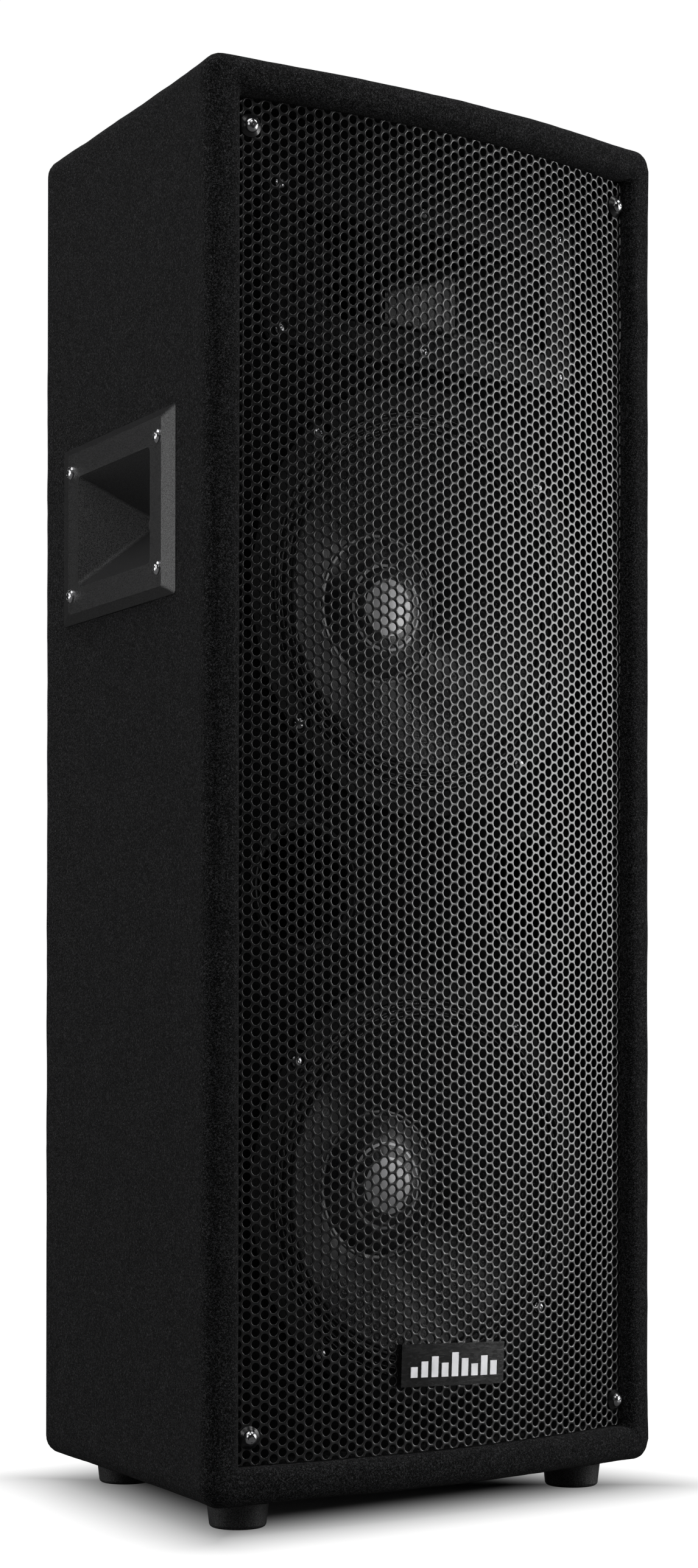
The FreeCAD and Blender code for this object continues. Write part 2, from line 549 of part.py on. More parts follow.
def badge(backing):
    """Curved name plate, left blank, a little off square on the grille, with a row of plain raised bars."""
    body = new_body("badge_blank", ("0", "0", "badge_z"), "badge_tilt", Vector(0, 1, 0))
    left, right = "badge_x - badge_width / 2", "badge_x + badge_width / 2"

    def on_arc(x, out):
        return x, "grille_front_y + grille_bend - sqrt((grille_bend + %s) ^ 2 - (%s) ^ 2)" % (out, x)

    sketch = outline(body, "XY_Plane", [
        on_arc(left, "badge_thickness"),
        on_arc(right, "badge_thickness") + ("0", "grille_front_y - badge_thickness"),
        on_arc(right, "0"),
        on_arc(left, "0") + ("0", "grille_front_y"),
    ], level="0 - badge_height / 2")
    feature(body, "Pad", sketch, Length="badge_height")
    parts.append(combine("Cut", "badge_plate", body, backing))
    bars = []
    for n, rise in enumerate((0.44, 0.66, 0.86, 0.58, 1.0, 0.74, 0.5, 0.82, 0.6)):
        x = "(badge_x + %d * bar_pitch)" % (n - 4)
        front = "grille_front_y - badge_thickness - bar_relief + %s ^ 2 / (2 * grille_bend)" % x
        bars.append(block("bar_%d" % n, (x + " - bar_width / 2", front, "0 - bar_height / 2"),
                          (x + " + bar_width / 2", front + " + bar_relief + bar_root",
                           "bar_height * (%s - 0.5)" % rise)))
    row = bundle("bar_blanks", bars)
    row.Placement = Placement(Vector(), Rotation(Vector(0, 1, 0), size("badge_tilt")))
    row.setExpression("Placement.Base.z", bound("badge_z"))
    row.setExpression("Placement.Rotation.Angle", bound("badge_tilt"))
    parts.append(combine("Cut", "badge_bars", row, body))


# ---------------------------------------------------------------- one woofer
def dome_middle(edge, bend, centre, sign):
    """The point half way up a dome whose ball is centred on the axis."""
    lean = "asin((%s) / (%s)) / 2" % (edge, bend)
    return "(%s) * sin(%s)" % (bend, lean), "%s %s (%s) * cos(%s)" % (centre, sign, bend, lean)


def woofer(name, z, turn):
    base = ("0", "baffle_y", z)
    spots = woofer_spots(z, turn)
    neck, inner_shelf = "basket_neck - frame_gauge", "shelf - frame_gauge"

    frame = turned(name + "_basket_blank", [
        ("frame_radius", "0 - frame_gauge"), ("frame_radius", "0"), ("basket_mouth", "0"),
        ("basket_mouth - skirt_draft", "basket_skirt + skirt_bend"),
        ("basket_shoulder", "shelf"), ("basket_neck", "shelf"),
        ("basket_neck", "basket_depth"), ("basket_bore", "basket_depth"),
        ("basket_bore", "basket_depth - frame_gauge"), (neck, "basket_depth - frame_gauge"),
        (neck, inner_shelf), ("basket_shoulder - shoulder_draft", inner_shelf),
        ("basket_mouth - inner_draft", "basket_skirt - skirt_bend"), ("ring_inner", "0 - frame_gauge"),
    ], base)
    near, far = "basket_neck + frame_gauge", "basket_mouth + overrun"
    window = outline(frame, "XY_Plane", [
        (near, "window_start"), (far, "window_start"), (far, "window_end"), (near, "window_end")])
    groove = feature(frame, "Groove", window, ReferenceAxis=(window, ["V_Axis"]), Angle="window_turn")
    ring = frame.newObject("PartDesign::PolarPattern", name + "_windows")
    ring.Originals = [groove]
    ring.Axis = (window, ["V_Axis"])
    ring.Angle = 360
    ring.Occurrences = 6
    frame.Tip = ring
    parts.append(drilled(name + "_basket", frame, "thick_shank", spots, *FLANGE_BORE))

    trim = turned(name + "_ring_blank", [
        ("ring_inner", "0 - frame_proud"), ("frame_radius", "0 - frame_proud"), ("frame_radius", "lip_front"),
        ("ring_inner", "lip_front")], base)
    parts.append(drilled(name + "_trim_ring", trim, "notch_radius", spots, *FLANGE_BORE))

    # The edge roll is three small folds between the ring and the cone.
    fold = "((ring_inner - cone_edge) / 6)"
    top = [("ring_inner - %d * %s" % (n, fold), "lip_front" + (" - fold_rise" if n % 2 else ""))
           for n in range(1, 7)]
    under = [(x, y + " + cloth_gauge") for x, y in reversed(top)]
    roll = turned(name + "_surround_blank", [
        ("surround_outer", "0 - frame_gauge"), ("surround_outer", "lip_front"),
        ("ring_inner", "lip_front")] + top + [
        ("surround_inner", "0 - cloth_gauge"), ("surround_inner", "0"),
        ("cone_edge", "edge_gap - frame_gauge")]
        + under[1:] + [("ring_inner", "0 - frame_gauge")], base)
    parts.append(drilled(name + "_surround", roll, "head_clearance", spots, *FLANGE_BORE))

    slope = "(cone_depth / (surround_inner - former_radius))"
    cap_seat = "(surround_inner - cap_radius) * %s * cap_seat_share" % slope
    parts.append(turned(name + "_cone", [
        ("surround_inner", "0"),
        ("cap_radius", cap_seat),
        ("former_radius", "cone_depth"),
        ("former_radius", "cone_depth + cone_gauge + neck_gauge"),
        ("cap_radius", cap_seat + " + cone_gauge"),
        ("surround_inner", "cone_gauge"),
        ("cone_edge", "cone_gauge - rim_drop"),
        ("cone_edge", "0 - rim_rise"),
    ], base))

    centre = cap_seat + " - cap_rise + cap_bend"
    inner_bend = "(cap_bend - cap_gauge)"
    inner_edge = "sqrt(%s ^ 2 - (cap_bend - cap_rise) ^ 2)" % inner_bend
    parts.append(turned(name + "_dust_cap", [
        ("0", cap_seat + " - cap_rise"),
        ("cap_radius", cap_seat) + dome_middle("cap_radius", "cap_bend", centre, "-"),
        (inner_edge, cap_seat),
        ("0", cap_seat + " - cap_rise + cap_gauge") + dome_middle(inner_edge, inner_bend, centre, "-"),
    ], base))

    former_end = "cone_depth + coil_length"
    bore, coil = "former_radius - former_wall", "former_radius + winding_gauge"
    parts.append(turned(name + "_voice_coil", [
        (bore, "cone_depth - former_overlap"), ("former_radius", "cone_depth - former_overlap"),
        ("former_radius", former_end + " - winding_length"), (coil, former_end + " - winding_length"),
        (coil, former_end), (bore, former_end)], base))

    crest = [("(former_radius + spider_start + %d * spider_pitch)" % n,
              "shelf - " + ("spider_low" if n % 2 else "spider_high")) for n in range(1, 10)]
    under = [(x, y + " + spider_gauge") for x, y in reversed(crest)]
    parts.append(turned(name + "_spider", [
        ("former_radius", "shelf - spider_root + spider_gauge"),
        ("former_radius", "shelf - spider_root")] + crest + [
        ("spider_outer", "shelf - spider_low"), ("spider_outer", "shelf - frame_gauge")] + under, base))


def woofer_motors():
    """Top plate, ring magnet and yoke of both woofers, and their solder tags."""
    front = "basket_depth + plate_thickness"
    rear = front + " + magnet_height"
    back = rear + " + plate_thickness"
    gap, pole = "former_radius + gap_width", "former_radius - gap_width"
    yoke_edge = "magnet_radius - yoke_inset"
    shapes = {
        "woofer_top_plates": [(gap, "basket_depth"), ("top_plate_radius", "basket_depth"),
                              ("top_plate_radius", front), (gap, front)],
        "woofer_magnets": [("magnet_bore", front), ("magnet_radius", front), ("magnet_radius", rear),
                           ("magnet_bore", rear)],
        "woofer_yokes": [("vent_radius", "basket_depth"), (pole, "basket_depth"), (pole, rear),
                         (yoke_edge, rear), (yoke_edge, back), ("vent_radius", back)],
    }
    for label, corners in shapes.items():
        parts.append(bundle(label, [turned(label + "_" + name, corners, ("0", "baffle_y", z))
                                    for name, z, turn in WOOFERS]))
    tags = []
    strip, tag = "baffle_y + basket_depth - tag_setback", "baffle_y + basket_depth - tag_rear"
    for name, z, turn in WOOFERS:
        top = z + " - basket_neck"
        root = top + " - tag_strip_gauge"
        tags.append(block(name + "_tag_strip",
                          ("0 - tag_strip_width / 2", strip + " - tag_strip_depth", root),
                          ("tag_strip_width / 2", strip, top)))
        tags += [block(name + "_tag", (x, tag + " - tag_gauge", root + " - tag_length"),
                       (x + " + tag_width", tag, root)) for x in ("0 - tag_inner - tag_width", "tag_inner")]
    parts.append(bundle("tag_strips", tags))


# ---------------------------------------------------------------- horn and compression driver
FLARE_STEPS = 6


def horn():
    base = ("0", "baffle_y", "horn_z")
    body = new_body("horn_blank", base)
    front = rounded_rectangle("horn_width", "horn_height", "horn_corner")
    feature(body, "Pad", outline(body, "XZ_Plane", front), Length="frame_proud")

    def sections(grow, front, rear):
        """Sections of the flare from the mouth to the throat, grown by the wall on the outside."""
        rows = []
        for n in range(FLARE_STEPS + 1):
            share = n / FLARE_STEPS
            depth = (front, "%s * horn_length" % share, rear)[min(n, 1) + n // FLARE_STEPS]
            width = "(throat + (mouth_width - throat) * %s ^ flare + 2 * %s)" % (1 - share, grow)
            height = "(throat + (mouth_height - throat) * %s ^ flare_rise + 2 * %s)" % (1 - share, grow)
            corner = "(mouth_corner + corner_growth * %s + %s)" % (share, grow)
            rows.append((depth, rounded_rectangle(width, height, corner)))
        return rows

    loft(body, "AdditiveLoft", sections("horn_wall", "0 - joint_overlap", "horn_length"))
    seat = rounded_rectangle("throat_flange", "throat_flange", "throat_corner")
    flange = outline(body, "XZ_Plane", seat, level="throat_flange_gauge - horn_length")
    feature(body, "Pad", flange, Length="throat_flange_gauge", Reversed=True)
    loft(body, "SubtractiveLoft", sections("0", "0 - frame_proud - joint_overlap",
                                           "horn_length + joint_overlap"))
    parts.append(drilled("horn_flare", body, "thin_shank", horn_spots(), *FLANGE_BORE))


def compression_driver():
    base = ("0", "baffle_y", "horn_z")
    bore = "throat / 2"
    centre = "film_rear + dome_rise - dome_bend"
    inner, inner_bend = "dome_radius - dome_wall", "dome_bend - dome_gauge"
    ease = "(1 - cos(45)) * cover_corner"
    profiles = {
        "horn_throat_plate": [
            (bore, "horn_length"), ("throat_plate_radius", "horn_length"),
            ("throat_plate_radius", "plate_rear"), (bore, "plate_rear")],
        "horn_driver_yoke": [
            (bore, "plate_rear"), ("driver_radius", "plate_rear"), ("driver_radius", "yoke_rear"),
            ("pole_radius", "yoke_rear"), ("pole_radius", "top_rear"), ("pole_bore", "top_rear")],
        "horn_driver_magnet": [
            ("driver_magnet_bore", "yoke_rear"), ("driver_radius", "yoke_rear"),
            ("driver_radius", "magnet_rear"), ("driver_magnet_bore", "magnet_rear")],
        "horn_driver_top_plate": [
            ("driver_gap_radius", "magnet_rear"), ("driver_radius", "magnet_rear"),
            ("driver_radius", "top_rear"), ("driver_gap_radius", "top_rear")],
        "horn_diaphragm": [
            (inner, "film_rear - dome_skirt"), ("dome_radius", "film_rear - dome_skirt"),
            ("dome_radius", "film_rear"),
            ("0", "film_rear + dome_rise") + dome_middle("dome_radius", "dome_bend", centre, "+"),
            ("0", "film_rear + dome_rise - dome_gauge"),
            (inner, "%s + sqrt((%s) ^ 2 - (%s) ^ 2)" % (centre, inner_bend, inner))
            + dome_middle(inner, inner_bend, centre, "+")],
        "horn_diaphragm_suspension": [
            ("dome_radius", "film_rear - film_gauge"), ("film_fold", "film_rear + film_fold_rise"),
            ("film_inner", "film_rear - film_gauge"), ("film_inner", "top_rear"), ("film_outer", "top_rear"),
            ("film_outer", "film_rear"), ("film_inner + film_gauge", "film_rear"),
            ("film_fold", "film_rear + film_fold_rise + film_gauge"), ("dome_radius", "film_rear")],
        "horn_rear_cover": [
            ("0", "cover_rear - cover_gauge"), ("cover_bore", "cover_rear - cover_gauge"),
            ("cover_bore", "film_rear"), ("driver_radius", "film_rear"),
            ("driver_radius", "cover_rear - cover_corner"),
            ("driver_radius - cover_corner", "cover_rear", "driver_radius - " + ease, "cover_rear - " + ease),
            ("0", "cover_rear")],
    }
    for label, corners in profiles.items():
        parts.append(turned(label, corners, base))


def ports():
    """Two flared port tubes with a flange on the baffle."""
    tube = "port_radius + port_wall"
    tubes = [turned("port_%d" % n, [
        ("port_flange_radius", "0 - port_flange_gauge"),
        ("port_flange_radius", "0"),
        (tube, "0"), (tube, "port_length"), ("port_radius", "port_length"),
        ("port_radius", "port_flare_depth"),
        ("port_radius + port_flare", "0 - port_lip", "port_radius + port_bend", "0 - port_bend_rise"),
    ], ("%d * port_offset" % n, "baffle_y", "port_z")) for n in (-1, 1)]
    parts.append(bundle("port_tubes", tubes))


# ---------------------------------------------------------------- handles and feet
def handle(name, side):
    """Moulded scoop handle: bevelled bezel outside the wall, wedge-shaped scoop inside it."""
    body = handle_body("handle_blank_" + name, side)
    face = "%d * handle_face_shift" % side
    deep = "%d * (handle_face_shift + scoop_floor_shift)" % side
    back_edge = rounded_rectangle("handle_width", "handle_height", "bezel_corner")
    front_edge = rounded_rectangle("handle_face_width", "handle_face_height", "bezel_corner", face)
    bezel = [("0", back_edge), ("handle_proud", front_edge)]

    def scoop(grow, front, rear):
        mouth = rounded_rectangle("(scoop_width + %s)" % grow, "(scoop_height + %s)" % grow,
                                  "scoop_corner", face)
        floor = rounded_rectangle("(scoop_floor_width + %s)" % grow, "(scoop_floor_height + %s)" % grow,
                                  "scoop_corner", deep, "scoop_floor_rise")
        return [(front, mouth), (rear, floor)]
    loft(body, "AdditiveLoft", bezel)
    loft(body, "AdditiveLoft", scoop("2 * handle_wall", "joint_overlap",
                                      "0 - scoop_depth - handle_wall"))
    loft(body, "SubtractiveLoft", scoop("0", "handle_proud + skim", "0 - scoop_depth"))
    tool = handle_tools[0 if side < 0 else 1]
    parts.append(combine("Cut", "handle_" + name, body, bundle("handle_holes_" + name, tool.Links[1:])))


def handle_fixings():
    master = screw("handle_screw", "handle_head", "thin_shank", "handle_screw_length")
    places = []
    for name, side in SIDES:
        frame = doc.getObject("handle_blank_" + name).Placement
        for x, z in handle_spots():
            spot = Vector(-side * x, size("handle_proud"), z)
            places.append(frame.multiply(Placement(spot, Rotation(Vector(0, 0, 1), 180))))
    parts.append(copies("handle_screws", master, places))


def feet():
    """Turned rubber feet, each with a countersunk well for its screw."""
    low, ease = "foot_radius - foot_taper", "(1 - cos(45)) * foot_edge"
    rubber = [turned("foot_%d" % n, [
        ("thick_shank", "foot_height"), ("foot_radius", "foot_height"), (low, "foot_edge"),
        (low + " - foot_edge", "0", low + " - " + ease, ease),
        ("foot_well", "0"), ("foot_well", "foot_well_depth"), ("thick_shank", "foot_well_depth")],
        (x, y, "0"), "XZ_Plane") for n, (x, y) in enumerate(foot_spots())]
    parts.append(bundle("feet", rubber))
    master = screw("foot_screw", "foot_head", "thick_shank", "foot_screw_length")
    up = Rotation(Vector(0, 1, 0), Vector(0, 0, 1))
    places = [place_at((x, y, "foot_well_depth"), up) for x, y in foot_spots()]
    parts.append(copies("foot_screws", master, places))


# ---------------------------------------------------------------- rear terminals
def terminal_dish():
    body = new_body("dish_blank", ("0", "back_y", "dish_z"))
    plate = rounded_rectangle("dish_width", "dish_height", "dish_corner")
    feature(body, "Pad", outline(body, "XZ_Plane", plate), Length="rear_proud", Reversed=True)
    box_width, box_height = "(dish_width - 2 * box_inset_x)", "(dish_height - 2 * box_inset_z)"
    box = rounded_rectangle(box_width, box_height, "box_corner")
    feature(body, "Pad", outline(body, "XZ_Plane", box), Length="dish_depth + dish_wall")
    well = rounded_rectangle("(%s - 2 * dish_wall)" % box_width, "(%s - 2 * dish_wall)" % box_height,
                             "box_corner - dish_wall")
    feature(body, "Pocket", outline(body, "XZ_Plane", well, level="0 - rear_proud"),
            Length="dish_depth + rear_proud", Reversed=True)
    jacks = [rod("jack_hole", "bushing_radius", ("0 - jack_x", "back_y - dish_depth - 2 * overrun", z),
                 "4 * overrun") for z in JACK_Z]
    pins = [rod("dish_screw_hole", "thin_shank", (x, "back_y - overrun", z), "4 * overrun")
            for x, z in dish_spots()]
    parts.append(combine("Cut", "terminal_dish", body, bundle("dish_holes", jacks + pins)))
    master = screw("dish_screw", "(dish_screw_head / head_share)", "thin_shank", "dish_screw_length")
    back = Rotation(Vector(0, 0, 1), 180)
    parts.append(copies("terminal_dish_screws", master,
                        [place_at((x, "back_y + rear_proud", z), back) for x, z in dish_spots()]))


def jacks():
    """Two 6.35 mm jack sockets and their nuts, behind the dish's floor."""
    floor = "0 - dish_depth"
    sockets, nuts = [], []
    for z in JACK_Z:
        base = ("0 - jack_x", "back_y", z)
        sockets.append(turned("jack_socket", [
            ("plug_radius", floor + " + bushing_length"), ("bushing_radius", floor + " + bushing_length"),
            ("bushing_radius", floor + " - dish_wall"), ("socket_radius", floor + " - dish_wall"),
            ("socket_radius", floor + " - socket_length"), ("0", floor + " - socket_length"),
            ("0", floor + " - socket_bore_depth"), ("plug_radius", floor + " - socket_bore_depth")], base))
        nut = new_body("jack_nut", base)
        hexagon = [("nut_radius * cos(%d)" % (60 * n), "nut_radius * sin(%d)" % (60 * n) if n % 3 else "0")
                   for n in range(6)]
        feature(nut, "Pad", outline(nut, "XZ_Plane", hexagon, level="dish_depth"), Length="nut_gauge",
                Reversed=True)
        bore = rod("nut_bore", "bushing_radius", ("0 - jack_x", "back_y - dish_depth - overrun", z),
                   "4 * overrun")
        nuts.append(combine("Cut", "jack_nut_bored", nut, bore))
    parts.append(bundle("jack_sockets", sockets))
    parts.append(bundle("jack_nuts", nuts))


def push_terminals():
    """Push terminal block with two pivoted levers in open wells."""
    floor = "back_y - dish_depth"
    low = ("block_x - block_width / 2", floor, "dish_z - block_height / 2")
    high = ("block_x + block_width / 2", floor + " + block_depth", "dish_z + block_height / 2")
    blank = block("terminal_block_blank", low, high)
    rear, crest = "back_y + lever_y - lever_sink", "back_y + lever_y + lever_gauge"
    pivot_y, pivot_z = rear + " + lever_gauge / 2", "dish_z + lever_pivot_z"
    foot, axis = "dish_z - lever_height / 2", Vector(1, 0, 0)
    tools = []
    for name, side in (("red", -1), ("black", 1)):
        x = "(block_x + %d * lever_pitch / 2)" % side
        left, right = x + " - lever_width / 2", x + " + lever_width / 2"
        well_low = (left + " - lever_play", floor + " + well_floor", foot + " - well_gap")
        well_high = (right + " + lever_play", floor + " + block_depth + overrun",
                     pivot_z + " + axle_headroom")
        tools.append(block("well_" + name, well_low, well_high))
        bearing = (left + " - bearing_reach", pivot_y, pivot_z)
        tools.append(rod("bearing_" + name, "axle_radius + axle_fit", bearing,
                         "lever_width + 2 * bearing_reach", axis))
        tools.append(rod("wire_hole_" + name, "wire_hole_radius",
                         (x, floor + " + wire_hole_depth", foot + " - wire_hole_drop"), "4 * overrun"))
        paddle = block("paddle_" + name, (left, rear, foot),
                       (right, rear + " + lever_gauge", pivot_z + " + lever_head"))
        rib = block("rib_" + name,
                    (left + " + rib_inset", crest + " - rib_root", foot + " + rib_low"),
                    (right + " - rib_inset", crest + " + rib_proud", foot + " + rib_high"))
        axle = rod("axle_" + name, "axle_radius", (left + " - axle_reach", pivot_y, pivot_z),
                   "lever_width + 2 * axle_reach", axis)
        made = doc.addObject("Part::MultiFuse", "lever_" + name)
        made.Shapes = [paddle, rib, axle]
        parts.append(made)
    parts.append(combine("Cut", "terminal_block", blank, bundle("terminal_block_tools", tools)))


# ---------------------------------------------------------------- inside
def crossover():
    """Crossover board on four standoffs, with two coils, three capacitors and two resistors."""
    board = block("crossover_plate", ("0 - board_width / 2", "board_y", "board_z - board_height / 2"),
                  ("board_width / 2", "board_y + board_gauge", "board_z + board_height / 2"))
    spots = [("%d * (board_width / 2 - leg_inset)" % x, "board_y + board_gauge",
              "board_z + %d * (board_height / 2 - leg_inset)" % z) for x in (-1, 1) for z in (-1, 1)]
    legs = [rod("board_leg", "leg_radius", spot, "board_standoff") for spot in spots]
    parts.append(bundle("crossover_board", [board] + legs))
    items = []
    for side in (-1, 1):
        items.append(turned("coil", [
            ("coil_bore", "0 - coil_height"), ("coil_core", "0 - coil_height"),
            ("coil_core", "coil_flange - coil_height"), ("coil_outer", "coil_flange - coil_height"),
            ("coil_outer", "0 - coil_flange"), ("coil_core", "0 - coil_flange"),
            ("coil_core", "0"), ("coil_bore", "0"),
        ], ("%d * coil_x" % side, "board_y", "board_z + coil_rise")))
    for n in range(3):
        spot = ("%d * capacitor_pitch - capacitor_start" % n, "board_y - capacitor_radius",
                "board_z - capacitor_drop")
        items.append(rod("capacitor", "capacitor_radius", spot, "capacitor_length", Vector(1, 0, 0)))
    for n in range(2):
        start, low = "%d * resistor_pitch - resistor_start" % n, "board_z - resistor_drop"
        items.append(block("resistor", (start, "board_y - resistor_gauge", low),
                           (start + " + resistor_length", "board_y", low + " + resistor_gauge")))
    parts.append(bundle("crossover_parts", items))


def wire(points):
    """A round cable through a run of points."""
    path = Part.BSplineCurve()
    path.interpolate([Vector(*[size(text) for text in point]) for point in points])
    edge = path.toShape()
    start = path.value(path.FirstParameter)
    ring = Part.Wire(Part.makeCircle(size("wire_radius"), start, path.tangent(path.FirstParameter)[0]))
    pipe = Part.Wire(edge).makePipeShell([ring], True, True)
    return Part.Solid(pipe) if pipe.ShapeType == "Shell" else pipe


def wiring():
    """Cables from the sockets to the board, and from the board to both woofers and the horn driver."""
    board = "board_y - wire_radius - wire_gap"
    top, low = "board_z + board_height / 2 - 6", "board_z - board_height / 2 + 4"
    socket = "back_y - dish_depth - socket_length - 2 * wire_gap"
    runs = [
        [("0 - jack_x", socket, "dish_z - jack_z"), ("0 - jack_x", socket + " - 14", "dish_z - jack_z - 20"),
         ("0 - jack_x - 14", "board_y - 24", top + " + 40"), ("0 - 64", board, top)],
        [("60", board, low), ("60", "board_y - 30", low + " - 20"), ("40", "20", "lower_woofer_z - 100"),
         ("12", "baffle_y + basket_depth - 8", "lower_woofer_z - 92"),
         ("9.5", "baffle_y + basket_depth - 8.5", "lower_woofer_z - 78")],
        [("0", board, top), ("20", "board_y - 34", top + " + 30"), ("50", "30", "upper_woofer_z - 130"),
         ("12", "baffle_y + basket_depth - 8", "upper_woofer_z - 92"),
         ("9.5", "baffle_y + basket_depth - 8.5", "upper_woofer_z - 78")],
        [("68", board, top), ("88", "board_y - 22", top + " + 50"), ("98", "80", "upper_woofer_z"),
         ("80", "60", "horn_z - 70"), ("20", "baffle_y + horn_length + 20", "horn_z - driver_radius - 12"),
         ("0", "baffle_y + horn_length + 20", "horn_z - driver_radius - 2.5")],
    ]
    made = doc.addObject("Part::Feature", "wiring_loom")
    made.Shape = Part.Compound([wire(run) for run in runs])
    parts.append(made)


def wadding():
    """Damping pad on the back wall behind the upper woofer."""
    rear = "back_y - wall - pad_gap"
    box = block("wadding_block", ("0 - pad_width / 2", rear + " - pad_gauge", "upper_woofer_z - pad_low"),
                ("pad_width / 2", rear, "upper_woofer_z + pad_high"))
    doc.recompute()
    soft = doc.addObject("Part::Fillet", "damping_wadding")
    soft.Base = box
    soft.Edges = [(n + 1, size("pad_round"), size("pad_round")) for n in range(len(box.Shape.Edges))]
    parts.append(soft)


# ---------------------------------------------------------------- assembly
doc.recompute()
GRILLE_FRAMES = grille_frames()
grille_pins = copies("grille_pins", grille_pin, GRILLE_FRAMES)
JACK_Z = ("dish_z - jack_z", "dish_z + jack_z")

case_panels()
front_baffle()
carpet()
front_sheet = grille_sheet()
grille_fixings()
badge(front_sheet)
for name, z, turn in WOOFERS:
    woofer(name, z, turn)
woofer_motors()
woofer_screw = screw("woofer_screw", "woofer_head", "thick_shank", "woofer_screw_length")
parts.append(copies("woofer_screws", woofer_screw,
                    [place_at((x, "baffle_y - frame_gauge", z)) for name, rise, turn in WOOFERS
                     for x, z in woofer_spots(rise, turn)]))
horn()
compression_driver()
horn_screw = screw("horn_screw", "horn_head", "thin_shank", "horn_screw_length")
parts.append(copies("horn_screws", horn_screw,
                    [place_at((x, "baffle_y - frame_proud", z)) for x, z in horn_spots()]))
ports()
for name, side in SIDES:
    handle(name, side)
handle_fixings()
feet()
terminal_dish()
jacks()
push_terminals()
crossover()
wiring()
wadding()
doc.recompute()

for item in doc.Objects:
    if "Invalid" in item.State or "Error" in item.State:
        raise RuntimeError("%s failed: %s" % (item.Label, item.State))
for item in parts:
    if item.Shape.isNull() or not item.Shape.isValid() or item.Shape.Volume <= 0:
        raise RuntimeError("%s has no valid solid" % item.Label)
for item in parts:
    item.Shape.exportStep("parts/%s.step" % item.Label)
    print(item.Label, len(item.Shape.Solids), round(item.Shape.Volume))
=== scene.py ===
import bmesh
import bpy
import math
import numpy as np
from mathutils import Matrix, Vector, noise


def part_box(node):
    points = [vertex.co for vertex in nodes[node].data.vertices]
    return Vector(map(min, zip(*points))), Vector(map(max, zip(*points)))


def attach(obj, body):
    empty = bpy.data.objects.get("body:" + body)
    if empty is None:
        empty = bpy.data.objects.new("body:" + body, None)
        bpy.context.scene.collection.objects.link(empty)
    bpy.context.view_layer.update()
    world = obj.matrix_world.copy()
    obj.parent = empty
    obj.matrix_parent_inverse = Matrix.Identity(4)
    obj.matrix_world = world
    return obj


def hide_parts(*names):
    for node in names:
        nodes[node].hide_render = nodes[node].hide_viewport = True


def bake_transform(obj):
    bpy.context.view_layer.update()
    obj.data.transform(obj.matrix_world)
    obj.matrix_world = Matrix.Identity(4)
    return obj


# Looks of a carpeted PA loudspeaker: soft carpet skin, perforated steel grille, cloth edge rolls and
# the materials of every part. Metres, +Z up, the grille faces -Y, the origin is on the floor.

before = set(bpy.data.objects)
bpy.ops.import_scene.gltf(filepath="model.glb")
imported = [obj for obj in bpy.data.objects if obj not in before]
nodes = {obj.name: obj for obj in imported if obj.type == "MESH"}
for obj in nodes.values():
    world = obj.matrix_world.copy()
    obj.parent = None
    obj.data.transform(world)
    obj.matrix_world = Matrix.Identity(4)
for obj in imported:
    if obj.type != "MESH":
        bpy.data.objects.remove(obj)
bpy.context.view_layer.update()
CABINET = "cabinet"

# ---------------------------------------------------------------- sizes that the frame doesn't give
CASE_WIDTH = 0.420          # across the front corners, before they are rounded
CASE_BOW = 0.023            # how far the front edge of the top panel swells forward
SIDE_TAPER = math.radians(13)
LIP = 0.026                 # width of the carpeted lip round the mouth
OUTER_ROLL = 0.011          # radius of the lip's outer edge, and of the back edges
INNER_ROLL = 0.009          # radius of the lip's inner edge
CASE_HALF_HEIGHT = 0.495
CORNER_SPARE = 0.003        # how much rounder than the outer roll the case's four long edges are
CORNER_LEAST = 0.002
CORNER_STEPS = 7
ROLL_STEPS = 6
CARPET_THICK = 0.003
CARPET_STEP = 0.006
CARPET_CREASE = 80
FELT_WOBBLES = ((28, 0.00045), (90, 0.0002))    # (waves per metre, height)
FOLD_REACH = 0.035          # how far the fullness of a folded corner reaches
FOLD_SWELL = 0.0012
HANDLE_ZONE = 0.12          # further out than this the carpet belongs to a side
HANDLE_HOLE = (0.076, 0.047)    # half the depth and half the height of the opening behind a handle
HANDLE_HOLE_SHIFT = 0.004
DISH_RIM = 0.014            # how far the rear dish overlaps the carpet
BACK_ZONE = 0.005
GRILLE_SAGITTA = 0.022
GRILLE_GAUGE = 0.0012
GRILLE_BANDS = 5
GRILLE_CREASE = 50
RETURN_GAP = 0.0002         # between a folded return and the baffle
RETURN_FOLD = 0.0009
HOLE_PITCH = 0.00791
HOLE_RADIUS = 0.00312
HOLE_ROUNDING = 0.00028
HOLE_LIP = ((1.0, 0.0), (0.3, 0.4), (0.0, 1.3))     # (across, deep) of the rounded lip, in roundings
HOLE_SIDES = 12

carpet_low, carpet_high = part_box("carpet_cover")
front_y = carpet_low.y + CASE_BOW
back_y = carpet_high.y
depth = back_y - front_y
baffle_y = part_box("baffle")[0].y


# ---------------------------------------------------------------- mesh helpers
def make_mesh(name, points, faces, material, crease=35):
    """A mesh object with smooth faces and sharp edges above the crease angle, in degrees."""
    mesh = bpy.data.meshes.new(name)
    mesh.from_pydata(np.asarray(points, float).tolist(), [], [tuple(face) for face in faces])
    mesh.validate()
    mesh.polygons.foreach_set("use_smooth", [True] * len(mesh.polygons))
    mesh.set_sharp_from_angle(angle=math.radians(crease))
    mesh.materials.append(material)
    made = bpy.data.objects.new(name, mesh)
    bpy.context.scene.collection.objects.link(made)
    return made


